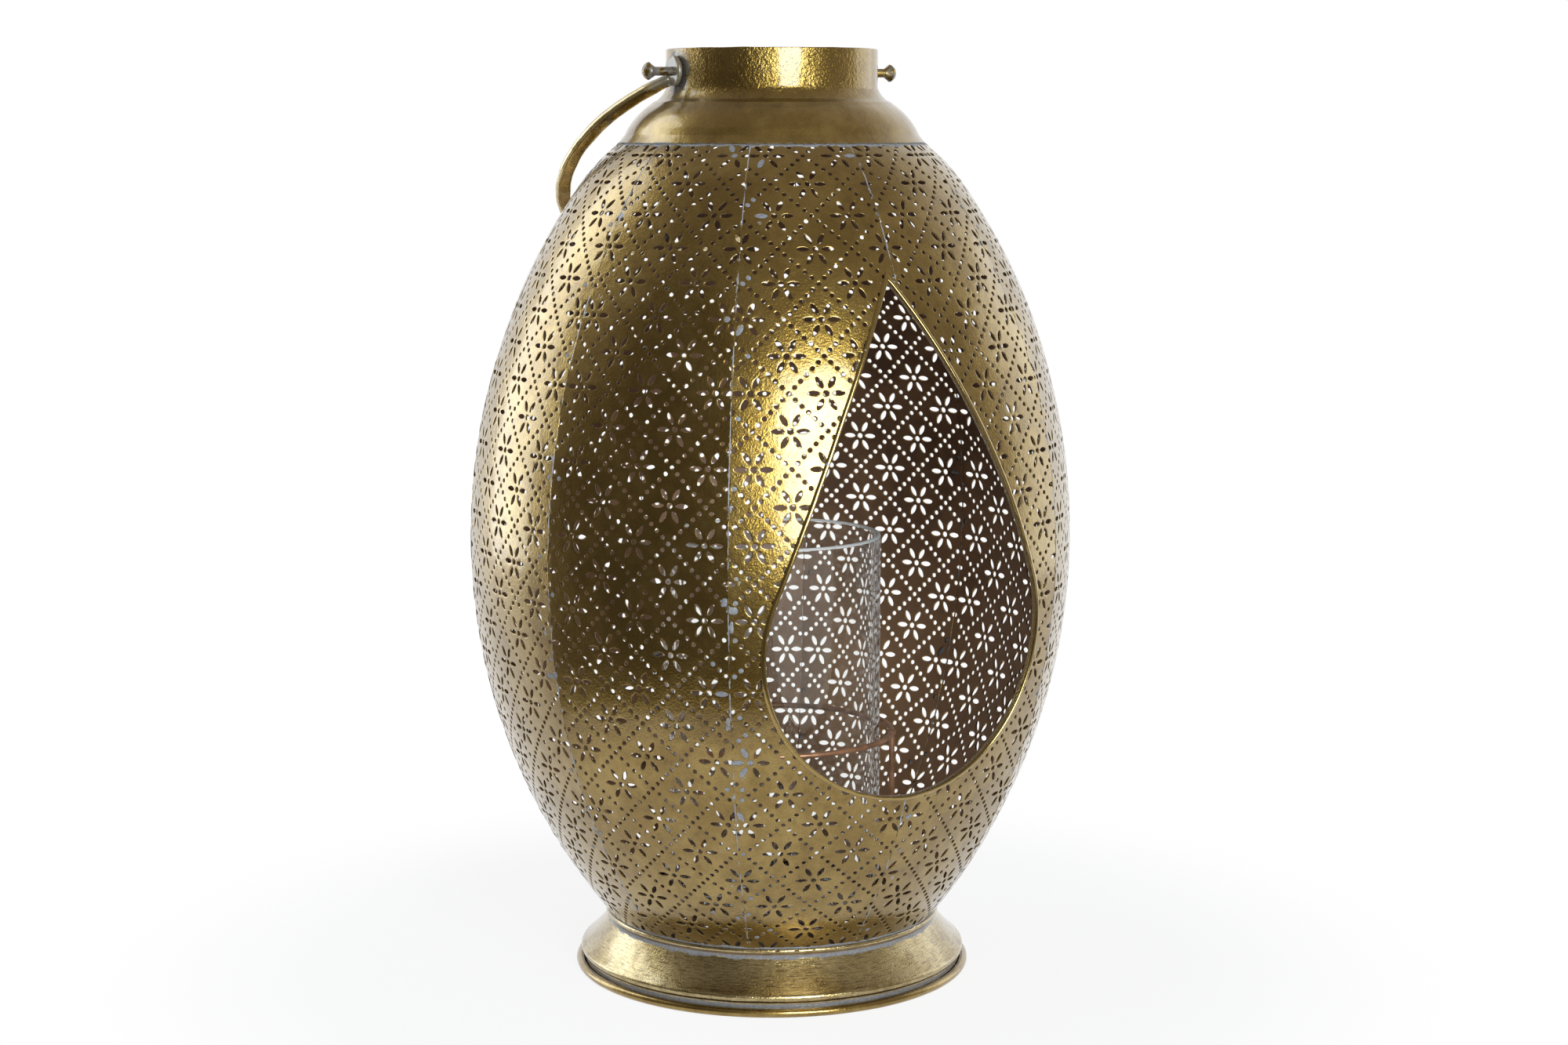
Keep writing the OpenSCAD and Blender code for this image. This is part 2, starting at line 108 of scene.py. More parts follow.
class Bench:
    """The maker's steps on one mesh at a time."""

    @staticmethod
    def clear() -> None:
        """Deselects everything."""
        for thing in bpy.context.view_layer.objects:
            thing.select_set(False)

    @classmethod
    def hold(cls, piece: Piece) -> None:
        """Selects one piece alone and makes it active."""
        cls.clear()
        piece.select_set(True)
        bpy.context.view_layer.objects.active = piece

    @classmethod
    def lay_out(
        cls,
        name: str,
        points: Iterable[Sequence[float]],
        faces: Iterable[Sequence[int]] = (),
        edges: Iterable[Sequence[int]] = (),
    ) -> Piece:
        """Makes a mesh from its points.

        Args:
            name: Name of the piece.
            points: Points in metres.
            faces: Point numbers of each face.
            edges: Point numbers of each edge that no face has.

        Returns:
            The new object, held.
        """
        mesh = bpy.data.meshes.new(name)
        mesh.from_pydata(*([tuple(row) for row in rows] for rows in (points, edges, faces)))
        mesh.update()
        piece = bpy.data.objects.new(name, mesh)
        bpy.context.scene.collection.objects.link(piece)
        cls.hold(piece)
        return piece

    @classmethod
    def tidy(cls, piece: Piece, gap: float = WELD) -> None:
        """Merges doubled points and turns the faces outwards."""
        cls.hold(piece)
        bpy.ops.object.mode_set(mode="EDIT")
        bpy.ops.mesh.select_all(action="SELECT")
        bpy.ops.mesh.remove_doubles(threshold=gap)
        bpy.ops.mesh.normals_make_consistent(inside=False)
        bpy.ops.object.mode_set(mode="OBJECT")

    @classmethod
    def spin(
        cls, name: str, outline: Sequence[Point], steps: int, closed: bool = True
    ) -> Piece:
        """Spins an outline once round the Z axis.

        Args:
            name: Name of the piece.
            outline: Radius and height of each point.
            steps: Number of steps in the full turn.
            closed: Whether the outline's last point joins its first.

        Returns:
            The spun piece.
        """
        count = len(outline)
        edges = [(i, (i + 1) % count) for i in range(count if closed else count - 1)]
        piece = cls.lay_out(name, [(r, 0.0, z) for r, z in outline], edges=edges)
        bpy.ops.object.mode_set(mode="EDIT")
        bpy.ops.mesh.select_all(action="SELECT")
        bpy.ops.mesh.spin(steps=steps, angle=FULL_TURN, center=(0, 0, 0), axis=(0, 0, 1))
        bpy.ops.object.mode_set(mode="OBJECT")
        cls.tidy(piece)
        return piece

    @classmethod
    def finish(cls, piece: Piece, kind: str, **settings: object) -> None:
        """Adds a modifier with its settings and applies it."""
        cls.hold(piece)
        modifier = piece.modifiers.new(kind.title(), kind)
        for key, value in settings.items():
            setattr(modifier, key, value)
        bpy.ops.object.modifier_apply(modifier=modifier.name)

    @classmethod
    def smooth(cls, piece: Piece, degrees: float) -> None:
        """Shades a piece smooth up to an angle."""
        cls.hold(piece)
        bpy.ops.object.shade_smooth_by_angle(angle=math.radians(degrees))

    @classmethod
    def cut(cls, piece: Piece, tool: Piece) -> None:
        """Cuts one piece out of another, and takes the cutter away."""
        cls.finish(piece, "BOOLEAN", operation="DIFFERENCE", solver="EXACT", object=tool)
        bpy.data.objects.remove(tool)

    @classmethod
    def rod(
        cls, radius: float, length: float, sides: int, x: float = 0.0, z: float = 0.0
    ) -> Piece:
        """Adds a cylinder that lies along X.

        Args:
            radius: Its radius.
            length: Its length.
            sides: Number of its sides.
            x: Place of its middle across.
            z: Height of its middle.

        Returns:
            The cylinder, with its place still to be applied.
        """
        cls.clear()
        bpy.ops.mesh.primitive_cylinder_add(
            vertices=sides, radius=radius, depth=length, location=(x, 0, z), rotation=(0, math.pi / 2, 0)
        )
        return bpy.context.view_layer.objects.active

    @classmethod
    def settle(cls) -> Piece:
        """Applies the place and turn of the piece that was added last, and returns it held."""
        piece = bpy.context.view_layer.objects.active
        cls.hold(piece)
        bpy.ops.object.transform_apply(location=True, rotation=True, scale=True)
        return piece

    @classmethod
    def join(cls, name: str, pieces: Sequence[Piece]) -> Piece:
        """Joins pieces into one mesh under a name."""
        cls.hold(pieces[0])
        for piece in pieces:
            piece.select_set(True)
        bpy.ops.object.join()
        joined = bpy.context.view_layer.objects.active
        joined.name = joined.data.name = name
        return joined

    @staticmethod
    def points_of(piece: Piece) -> np.ndarray:
        """The points of a piece as rows of x, y, z."""
        points = np.empty(len(piece.data.vertices) * 3)
        piece.data.vertices.foreach_get("co", points)
        return points.reshape(-1, 3)

    @staticmethod
    def move_points(piece: Piece, points: np.ndarray) -> None:
        """Puts new places back into a piece's points."""
        piece.data.vertices.foreach_set("co", np.asarray(points, float).ravel())
        piece.data.update()

    @classmethod
    def dent(cls, piece: Piece, *layers: Dents) -> None:
        """Moves the points along their normals by soft noise, as hand work does.

        Args:
            piece: Piece to work on.
            *layers: Largest move either way, size of a dent and the noise's own shift.
        """
        for depth, size, seed in layers:
            points = cls.points_of(piece)
            normals = np.empty(points.size)
            piece.data.vertices.foreach_get("normal", normals)
            shift = np.array((seed, -seed, 2 * seed))
            lumps = np.array([noise.noise(Vector(spot)) for spot in points / size + shift])
            cls.move_points(piece, points + normals.reshape(-1, 3) * (depth * lumps)[:, None])


def skin(count: int, size: int, closed: bool = True) -> list[tuple[int, ...]]:
    """Covers rings of points that follow each other.

    Args:
        count: Number of rings.
        size: Points in each ring.
        closed: Whether the last ring joins the first. If it doesn't, both end rings are capped.

    Returns:
        Point numbers of each face.
    """
    faces = []
    for i in range(count if closed else count - 1):
        here, then = i * size, (i + 1) % count * size
        faces += [(here + k, here + (k + 1) % size, then + (k + 1) % size, then + k) for k in range(size)]
    if not closed:
        faces += [tuple(range(size)), tuple((count - 1) * size + k for k in range(size))]
    return faces


def tube(name: str, path: np.ndarray, radius: float, sides: int, closed: bool = False) -> Piece:
    """Draws a round section along a path.

    Args:
        name: Name of the piece.
        path: Points of the path as rows of x, y, z.
        radius: Radius of the section.
        sides: Points in the section.
        closed: Whether the path's last point joins its first.

    Returns:
        The tube, with closed ends.
    """
    ahead = np.roll(path, -1, 0) - np.roll(path, 1, 0)
    if not closed:
        ahead[0], ahead[-1] = path[1] - path[0], path[-1] - path[-2]
    ahead /= np.linalg.norm(ahead, axis=1)[:, None]
    side = np.cross(ahead[0], (0.0, 0.0, 1.0) if abs(ahead[0][2]) < 0.9 else (1.0, 0.0, 0.0))
    turn = (np.arange(sides) * FULL_TURN / sides)[:, None]
    rings = []
    for centre, direction in zip(path, ahead):
        side = side - direction * side.dot(direction)
        side /= np.linalg.norm(side)
        rings.append(centre + radius * (np.cos(turn) * side + np.sin(turn) * np.cross(direction, side)))
    piece = Bench.lay_out(name, np.concatenate(rings), skin(len(path), sides, closed))
    Bench.tidy(piece, FINE_WELD)
    return piece


def soft_step(share: np.ndarray) -> np.ndarray:
    """Goes softly from 0 to 1 as a share does."""
    share = np.clip(share, 0, 1)
    return share * share * (3 - 2 * share)


def arc(start: Point, end: Point, radius: float, steps: int = 8) -> list[Point]:
    """Points of an arc after its start, up to and with its end.

    Args:
        start: First point, left out of the result.
        end: Last point.
        radius: Radius of the arc, which bulges to the right of the way from start to end, or
            to the left where the radius is negative.
        steps: Number of steps.

    Returns:
        The points.
    """
    a, b = np.array(start), np.array(end)
    half = np.linalg.norm(b - a) / 2
    sign = -1 if radius < 0 else 1
    across = np.array([-(b - a)[1], (b - a)[0]]) / (2 * half)
    centre = (a + b) / 2 + sign * math.sqrt(radius * radius - half * half) * across
    first = math.atan2(*(a - centre)[::-1])
    turn = sign * 2 * math.asin(half / abs(radius))
    points = []
    for i in range(1, steps + 1):
        angle = first + turn * i / steps
        points.append(tuple(centre + abs(radius) * np.array((math.cos(angle), math.sin(angle)))))
    return points


# Finishes


class Wire:
    """A shader socket that can be used in sums."""

    def __init__(self, finish: "Finish", socket: bpy.types.NodeSocket) -> None:
        """Holds a socket of a finish's node tree."""
        self.finish = finish
        self.socket = socket

    def _sum(self, operation: str, *values: "Wire | float") -> "Wire":
        """Adds one Math node."""
        return self.finish.node("ShaderNodeMath", {"operation": operation}, *values)

    def __add__(self, other: "Wire | float") -> "Wire":
        """Self plus other."""
        return self._sum("ADD", self, other)

    def __radd__(self, other: float) -> "Wire":
        """Other plus self."""
        return self._sum("ADD", other, self)

    def __sub__(self, other: "Wire | float") -> "Wire":
        """Self less other."""
        return self._sum("SUBTRACT", self, other)

    def __rsub__(self, other: float) -> "Wire":
        """Other less self."""
        return self._sum("SUBTRACT", other, self)

    def __mul__(self, other: "Wire | float") -> "Wire":
        """Self times other."""
        return self._sum("MULTIPLY", self, other)

    def __rmul__(self, other: float) -> "Wire":
        """Other times self."""
        return self._sum("MULTIPLY", other, self)

    def __truediv__(self, other: "Wire | float") -> "Wire":
        """Self over other."""
        return self._sum("DIVIDE", self, other)

    def __pow__(self, other: "Wire | float") -> "Wire":
        """Self to the power of other."""
        return self._sum("POWER", self, other)

    def __abs__(self) -> "Wire":
        """Size of self."""
        return self._sum("ABSOLUTE", self)

    def least(self, other: "Wire | float") -> "Wire":
        """The smaller of the two."""
        return self._sum("MINIMUM", self, other)

    def most(self, other: "Wire | float") -> "Wire":
        """The larger of the two."""
        return self._sum("MAXIMUM", self, other)

    def atan2(self, other: "Wire | float") -> "Wire":
        """Angle whose sine and cosine are as self and other."""
        return self._sum("ARCTAN2", self, other)

    def fade(self, low: float, high: float) -> "Wire":
        """Goes softly from 0 at low to 1 at high, also where high is the smaller."""
        ends = (low, high, 0.0, 1.0) if low < high else (high, low, 1.0, 0.0)
        return self.finish.node("ShaderNodeMapRange", {"interpolation_type": "SMOOTHSTEP"}, self, *ends)


@dataclass(frozen=True)
class Finish:
    """A material with its nodes."""

    name: str = "finish"
    output: str = "ShaderNodeOutputMaterial"

    @cached_property
    def material(self) -> bpy.types.Material:
        """The Blender material, built once."""
        material = bpy.data.materials.new(self.name)
        material.use_nodes = True
        self.paint(material.node_tree)
        return material

    def paint(self, tree: bpy.types.NodeTree) -> None:
        """Fills a node tree with this finish."""
        tree.nodes.clear()
        self.__dict__["tree"] = tree
        tree.links.new(self.surface().socket, tree.nodes.new(self.output).inputs[0])

    def surface(self) -> Wire:
        """The shader of the surface."""
        raise NotImplementedError

    def put(self, socket: bpy.types.NodeSocket, value: "Wire | Colour | float") -> None:
        """Gives a socket a wire or a plain value."""
        if isinstance(value, Wire):
            self.__dict__["tree"].links.new(value.socket, socket)
        elif socket.type == "RGBA":
            socket.default_value = (*value, 1.0)
        else:
            socket.default_value = value

    def node(self, kind: str, settings: dict, *values: object, out: int | str = 0, **named: object) -> Wire:
        """Adds a node.

        Args:
            kind: Type of the node.
            settings: Its own settings.
            *values: Values or wires of its first sockets.
            out: The output that is used.
            **named: Values or wires of sockets by name, with _ for a space.

        Returns:
            The output.
        """
        node = self.__dict__["tree"].nodes.new(kind)
        for key, value in settings.items():
            setattr(node, key, value)
        for i, value in enumerate(values):
            self.put(node.inputs[i], value)
        for key, value in named.items():
            self.put(node.inputs[key.replace("_", " ")], value)
        return Wire(self, node.outputs[out])

    @property
    def place(self) -> Wire:
        """Object coordinates, in metres."""
        return self.node("ShaderNodeTexCoord", {}, out="Object")

    def seen(self) -> Wire:
        """1 for what the camera sees, in polished metal and through glass too, else 0."""
        outputs = self.node("ShaderNodeLightPath", {}).socket.node.outputs
        camera, glossy, through = (
            Wire(self, outputs[f"Is {ray} Ray"]) for ray in ("Camera", "Glossy", "Transmission")
        )
        return camera.most(glossy).most(through)

    def xyz(self) -> tuple[Wire, Wire, Wire]:
        """The three object coordinates."""
        parts = self.node("ShaderNodeSeparateXYZ", {}, self.place)
        outputs = parts.socket.node.outputs
        return tuple(Wire(self, outputs[i]) for i in range(3))

    def noise(self, place: Wire, size: float, detail: float, roughness: float) -> Wire:
        """Noise from 0 to 1 over given places, with lumps of a size in metres."""
        return self.node(
            "ShaderNodeTexNoise", {}, place, Scale=1 / size, Detail=detail, Roughness=roughness, out="Fac"
        )

    def grain(self, size: float, detail: float, roughness: float, shift: float = 0.0) -> Wire:
        """Noise from 0 to 1 over the object's own places, moved aside by a shift."""
        place = self.place
        if shift:
            place = self.node("ShaderNodeVectorMath", {"operation": "ADD"}, place, (shift, shift, -shift))
        return self.noise(place, size, detail, roughness)

    def blend(self, share: Wire | float, under: Wire | Colour, over: Wire | Colour) -> Wire:
        """Mixes two colours by a share of the upper one."""
        mix = self.node("ShaderNodeMix", {"data_type": "RGBA"}, share, out=2)
        for socket, colour in zip(mix.socket.node.inputs[6:8], (under, over)):
            self.put(socket, colour)
        return mix

    def bump(self, height: Wire, depth: float) -> Wire:
        """A relief of a depth in metres."""
        return self.node("ShaderNodeBump", {}, 1.0, depth, Height=height)

    def principled(
        self, tone: Wire, metal: Wire | float, rough: Wire | float, **more: Wire | float
    ) -> Wire:
        """The main shader.

        Args:
            tone: Base colour.
            metal: Metallic.
            rough: Roughness.
            **more: Values or wires of other sockets.

        Returns:
            The shader.
        """
        return self.node(
            "ShaderNodeBsdfPrincipled", {}, Base_Color=tone, Metallic=metal, Roughness=rough, **more
        )


LEAF_GOLD: Colour = (0.240, 0.151, 0.027)
LEAF_PALE: Colour = (0.346, 0.237, 0.064)
# Dark tone the primer is pushed towards: partly the primer's own colour, and on the collar and the bail
# partly painted shade round the pins and eyelets
DARK_PRIMER: Colour = (0.060, 0.048, 0.040)
LEAF_BROWN: Colour = (0.105, 0.056, 0.020)
SPECK: Colour = (0.035, 0.024, 0.014)
PRIMER_GREY: Colour = (0.20, 0.20, 0.212)
PRIMER_PALE: Colour = (0.30, 0.30, 0.32)


@dataclass(frozen=True)
class GoldLeaf(Finish):
    """Crinkled gold leaf over grey primer, browned in its hollows."""

    name: str = "gold_leaf"
    crinkle: float = 1.1 * MM
    crinkle_depth: float = 0.10 * MM
    cloud_size: float = 26 * MM
    patch_size: float = 6 * MM
    sand_size: float = 0.42 * MM
    speck_size: float = 0.8 * MM
    primer_size: float = 1.4 * MM
    brown: float = 0.5
    shine: float = 0.25
    lacquer: float = 0.9
    lacquer_rough: float = 0.14
    gold: Colour = LEAF_GOLD
    pale: Colour = LEAF_PALE
    lift: float = 0.0
    soot: float = 0.0

    def bare(self) -> Wire | float:
        """Where the leaf is missing and the primer shows, from 0 to 1."""
        return 0.0

    def streaks(self) -> Wire | float:
        """How dark the brushed streaks are, from 0 to 1."""
        return 0.0

    def crinkled(self) -> Wire | float:
        """How much of the crinkle's depth there is, from 0 to 1."""
        return 1.0

    def from_pins(self) -> Wire:
        """Distance from the line through the pins."""
        _, y, z = self.xyz()
        height = z - PIN_Z
        return (y * y + height * height) ** 0.5

    def surface(self) -> Wire:
        """Leaf, wear, specks and primer over one relief."""
        crinkled, bare = self.crinkled(), self.bare()
        fine = self.grain(self.crinkle, 4.0, 0.6)
        ridges = abs(self.grain(self.crinkle * 2.2, 2.0, 0.5, 0.3) - 0.5)
        cloud = self.grain(self.cloud_size, 3.0, 0.55, 0.7)
        patch = self.grain(self.patch_size, 4.0, 0.6, 1.1)
        worn = (patch * 0.55 + fine * 0.45).fade(0.47, 0.36) * (cloud.fade(0.62, 0.38) * self.brown)
        sand = self.grain(self.sand_size, 2.0, 0.6, 1.9).fade(0.52, 0.34)
        specks = self.grain(self.speck_size, 2.0, 0.6, 2.3).fade(0.32, 0.25)
        spots = self.grain(self.primer_size, 3.0, 0.6, 3.1).fade(0.35, 0.65)
        # Primer darkened by a set share, on the collar and the bail partly painted shade
        grey = self.blend(self.soot, self.blend(spots, PRIMER_GREY, PRIMER_PALE), DARK_PRIMER)
        tone = self.blend((cloud * 0.6 + patch * 0.4 + self.lift).fade(0.40, 0.66), self.gold, self.pale)
        for share, over in (
            (worn, LEAF_BROWN), (sand * 0.45, LEAF_BROWN), (specks, SPECK), (self.streaks(), LEAF_BROWN),
            (bare, grey),
        ):
            tone = self.blend(share, tone, over)
        rough = (0.5 - ridges) * 0.16 + worn * 0.2 + (self.shine - 0.08)
        rough = rough + (1.0 - crinkled) * 0.13 + bare * 0.25
        metal = (1.0 - (specks * 0.7).least(1.0)) * (1.0 - bare * 0.92)
        relief = (fine * 0.6 + ridges * 1.6) * crinkled - bare * 0.35
        return self.principled(
            tone, metal, rough, Normal=self.bump(relief, self.crinkle_depth),
            Coat_Weight=self.lacquer, Coat_Roughness=self.lacquer_rough,
        )


@dataclass(frozen=True)
class ShellLeaf(GoldLeaf):
    """The leaf on the gores, with primer along the seams."""

    name: str = "pierced_gold"
    gores: int = 10
    crinkle: float = 0.9 * MM
    crinkle_depth: float = 0.13 * MM
    ragged_size: float = 3.5 * MM
    line_wander: float = 5 * MM
    line: Point = (0.55 * MM, 0.25 * MM)
    blot_size: float = 11 * MM
    blot_reach: Point = (12 * MM, 5 * MM)
    end_wander: float = 3 * MM
    low_end: Point = (30.6 * MM, 29.8 * MM)
    high_end: Point = (413.2 * MM, 413.8 * MM)

    def bare(self) -> Wire:
        """Primer in a ragged line beside each seam and in a few blots."""
        x, y, z = self.xyz()
        turn = y.atan2(x) * (self.gores / FULL_TURN) + (20.5 + self.gores / 4)
        step = self.node("ShaderNodeMath", {"operation": "FRACT"}, turn)
        reach = (x * x + y * y) ** 0.5
        away = abs(step - 0.5) * (FULL_TURN / self.gores) * reach
        ragged = self.grain(self.ragged_size, 3.0, 0.6, 4.2)
        line = (away - (ragged - 0.60) * self.line_wander).fade(*self.line)
        blots = self.grain(self.blot_size, 3.0, 0.55, 5.0).fade(0.69, 0.71) * away.fade(*self.blot_reach)
        wander = (ragged - 0.5) * self.end_wander
        low, high = (z - wander).fade(*self.low_end), (z + wander).fade(*self.high_end)
        return line.most(blots).most(low).most(high)


@dataclass(frozen=True)
class CollarLeaf(GoldLeaf):
    """The leaf on the collar, with primer round the pins and under the lip."""

    name: str = "collar_gold"
    crinkle: float = 1.2 * MM
    crinkle_depth: float = 0.42 * MM
    # Darker primer: partly its own tone, partly painted shade round the pins where the bail's eyelets meet
    # the neck
    soot: float = 0.85
    neck: Point = (433 * MM, 441 * MM)
    ragged_size: float = 3 * MM
    pin_wander: float = 16 * MM
    pin_reach: Point = (8.5 * MM, 5.5 * MM)
    left_wander: float = 20 * MM
    left_reach: Point = (12 * MM, 8 * MM)
    left_x: Point = (-44 * MM, -49 * MM)
    lip_wander: float = 2.4 * MM
    lip: Point = (414.9 * MM, 414.4 * MM)

    def crinkled(self) -> Wire:
        """All of it on the neck, little on the shoulder."""
        return self.xyz()[2].fade(*self.neck) * 0.70 + 0.30

    def bare(self) -> Wire:
        """Primer round each pin and along the lip's edge."""
        x, _, z = self.xyz()
        away = self.from_pins()
        ragged = self.grain(self.ragged_size, 4.0, 0.6, 4.2) - 0.5
        pins = (away - ragged * self.pin_wander).fade(*self.pin_reach)
        left = (away - ragged * self.left_wander).fade(*self.left_reach) * x.fade(*self.left_x)
        lip = (z + ragged * self.lip_wander).fade(*self.lip)
        return pins.most(left).most(lip)


@dataclass(frozen=True)
class FootLeaf(GoldLeaf):
    """The leaf on the foot, with a band of primer under the bead and in the groove."""

    name: str = "foot_gold"
    crinkle: float = 0.8 * MM
    crinkle_depth: float = 0.16 * MM
    lift: float = 0.06
    soot: float = 0.42
    # Painted light: the foot's leaf is a paler, lit copy of the shell's leaf, standing in for the bright
    # light the flare catches from above
    gold: Colour = (0.31, 0.225, 0.080)
    pale: Colour = (0.48, 0.385, 0.190)
    streak_r: float = 8 * MM
    streak_size: float = 0.55 * MM
    streak_dark: float = 0.6
    ragged_size: float = 7 * MM
    band_wander: float = 4.5 * MM
    band_low: Point = (23.9 * MM, 24.2 * MM)
    band_top: Point = (26.8 * MM, 26.6 * MM)
    groove_wander: float = 1.0 * MM
    groove_top: Point = (5.7 * MM, 5.3 * MM)
    groove_low: Point = (3.2 * MM, 4.0 * MM)

    def streaks(self) -> Wire:
        """Fine streaks round the skirt, as a spinning tool leaves."""
        x, y, z = self.xyz()
        spot = self.node("ShaderNodeCombineXYZ", {}, x.atan2(y * -1.0) * self.streak_r, z, 0.0)
        return self.noise(spot, self.streak_size, 3.0, 0.6).fade(0.50, 0.36) * self.streak_dark

    def bare(self) -> Wire:
        """The band under the top bead and the line over the ring."""
        z = self.xyz()[2]
        ragged = self.grain(self.ragged_size, 4.0, 0.65, 4.2) - 0.5
        band = (z - ragged * self.band_wander).fade(*self.band_low) * z.fade(*self.band_top)
        groove = (z - ragged * self.groove_wander).fade(*self.groove_top) * z.fade(*self.groove_low)
        return band.most(groove)


@dataclass(frozen=True)
class SeamLeaf(GoldLeaf):
    """The leaf over the seams' solder, rubbed away along half of them."""

    name: str = "seam_gold"
    crinkle: float = 0.9 * MM
    crinkle_depth: float = 0.10 * MM
    brown: float = 1.0

    def bare(self) -> Wire:
        """Primer and solder in long stretches."""
        return self.grain(13 * MM, 4.0, 0.65, 9.4).fade(0.47, 0.53)


@dataclass(frozen=True)
class RimLeaf(GoldLeaf):
    """The leaf on the window's rim, worn to the primer in a few places."""

    name: str = "rim_gold"
    crinkle: float = 1.0 * MM
    crinkle_depth: float = 0.03 * MM
    brown: float = 0.2
    shine: float = 0.18
    lift: float = 0.2

    def bare(self) -> Wire:
        """The worn places."""
        return self.grain(9 * MM, 3.0, 0.6, 6.4).fade(0.68, 0.71)


@dataclass(frozen=True)
class AgedPin(GoldLeaf):
    """Gilded iron, half of it worn to the primer."""

    name: str = "aged_pin"
    crinkle: float = 0.7 * MM
    crinkle_depth: float = 0.08 * MM
    brown: float = 2.4
    shine: float = 0.36
    soot: float = 0.5
    shank_wander: float = 9 * MM
    shank_start: Point = (-62 * MM, -64 * MM)
    shank_end: Point = (-68 * MM, -66 * MM)

    def bare(self) -> Wire:
        """Primer all round the left pin's shank, and in patches."""
        x = self.xyz()[0]
        ragged = self.grain(2.2 * MM, 3.0, 0.6, 7.2)
        worn = self.grain(3 * MM, 3.0, 0.6, 2.7).fade(0.46, 0.54) * 0.75
        start = (x + (ragged - 0.5) * self.shank_wander).fade(*self.shank_start)
        return (start * x.fade(*self.shank_end) * 0.9).most(worn)


@dataclass(frozen=True)
class BailLeaf(GoldLeaf):
    """The leaf on the bail, grey where it turns round the pins."""

    name: str = "bail_gold"
    crinkle: float = 1.8 * MM
    crinkle_depth: float = 0.05 * MM
    brown: float = 0.3
    shine: float = 0.25
    lift: float = 0.08
    # Darker primer: partly its own tone, partly painted shade where the eyelets meet the neck
    soot: float = 0.8
    # Painted light: the bail's leaf is a paler, lit copy of the shell's leaf, standing in for the broad
    # highlights the bail catches
    gold: Colour = (0.45, 0.33, 0.13)
    pale: Colour = (0.60, 0.48, 0.24)
    eye_wander: float = 22 * MM
    eye_reach: Point = (13 * MM, 7 * MM)

    def bare(self) -> Wire:
        """Primer round the eyelets."""
        ragged = self.grain(4 * MM, 4.0, 0.62, 8.1)
        return (self.from_pins() - (ragged - 0.5) * self.eye_wander).fade(*self.eye_reach) * 0.8


@dataclass(frozen=True)
class Clouded(Finish):
    """Two colours in clouds over a finely grained relief.

    The roughness is its least value and what the fine grain adds to it.
    """

    cloud: Grain = (18 * MM, 4.0, 0.6, 2.2)
    span: Point = (0.38, 0.66)
    low: Colour = (0.0, 0.0, 0.0)
    high: Colour = (1.0, 1.0, 1.0)
    fine: Grain = (1.2 * MM, 3.0, 0.6, 0.4)
    depth: float = 0.0
    metal: float = 0.0
    rough: Point = (0.0, 0.0)

    def over(self, tone: Wire, fine: Wire) -> Wire:
        """What lies over the clouds."""
        return tone

    def surface(self) -> Wire:
        """Clouds, what lies over them, and the relief."""
        cloud, fine = self.grain(*self.cloud).fade(*self.span), self.grain(*self.fine)
        tone = self.over(self.blend(cloud, self.low, self.high), fine)
        least, more = self.rough
        return self.principled(
            tone, self.metal, fine * more + least if more else least, Normal=self.bump(fine, self.depth)
        )


@dataclass(frozen=True)
class BrownedInside(Clouded):
    """The sheet's inner side, a thin browned copper coat with flecks of gold, paler lower down as painted
    light.
    """

    name: str = "browned_inside"
    cloud: Grain = (32 * MM, 3.0, 0.55, 1.7)
    span: Point = (0.36, 0.66)
    low: Colour = (0.130, 0.066, 0.036)
    high: Colour = (0.260, 0.142, 0.075)
    fine: Grain = (1.6 * MM, 3.0, 0.6, 2.9)
    depth: float = 0.05 * MM
    metal: float = 0.25
    rough: Point = (0.44, 0.0)
    # Painted light: the paler colour of the lower inside, and the heights over which it fades in
    wash: Colour = (0.38, 0.215, 0.115)
    wash_reach: Point = (280 * MM, 110 * MM)
    fleck: Colour = (0.22, 0.14, 0.10)

    def over(self, tone: Wire, fine: Wire) -> Wire:
        """Painted light that makes it paler lower down, where light falls in from above, with flecks."""
        # Painted light: paler towards the bottom
        tone = self.blend(self.xyz()[2].fade(*self.wash_reach) * 0.65, tone, self.wash)
        return self.blend(fine.fade(0.60, 0.72) * 0.2, tone, self.fleck)


@dataclass(frozen=True)
class Solder(Clouded):
    """Dull grey solder and primer, lumpy, with brown dirt in its hollows."""

    name: str = "solder"
    cloud: Grain = (0.9 * MM, 3.0, 0.6, 1.3)
    span: Point = (0.35, 0.65)
    low: Colour = (0.185, 0.185, 0.197)
    high: Colour = (0.285, 0.287, 0.305)
    fine: Grain = (0.9 * MM, 3.0, 0.6, 1.3)
    depth: float = 0.12 * MM
    metal: float = 0.25
    rough: Point = (0.5, 0.0)
    dirt: Colour = (0.17, 0.12, 0.07)
    dirt_size: float = 5 * MM

    def over(self, tone: Wire, fine: Wire) -> Wire:
        """The dirt."""
        share = self.grain(self.dirt_size, 4.0, 0.6, 2.1).fade(0.56, 0.68) * 0.7
        return self.blend(share, tone, self.dirt)


@dataclass(frozen=True)
class CopperWire(Clouded):
    """Copper-brown lacquered wire."""

    name: str = "copper_wire"
    cloud: Grain = (12 * MM, 3.0, 0.6, 3.3)
    span: Point = (0.38, 0.64)
    low: Colour = (0.50, 0.26, 0.145)
    high: Colour = (0.30, 0.155, 0.085)
    fine: Grain = (0.9 * MM, 2.0, 0.5, 0.9)
    depth: float = 0.03 * MM
    metal: float = 0.6
    rough: Point = (0.26, 0.15)


@dataclass(frozen=True)
class BrownedPlate(Clouded):
    """The floor plate, browned like the shell's inside but darker."""

    name: str = "browned_plate"
    low: Colour = (0.13, 0.085, 0.05)
    high: Colour = (0.24, 0.16, 0.09)
    depth: float = 0.05 * MM
    metal: float = 0.5
    rough: Point = (0.38, 0.2)


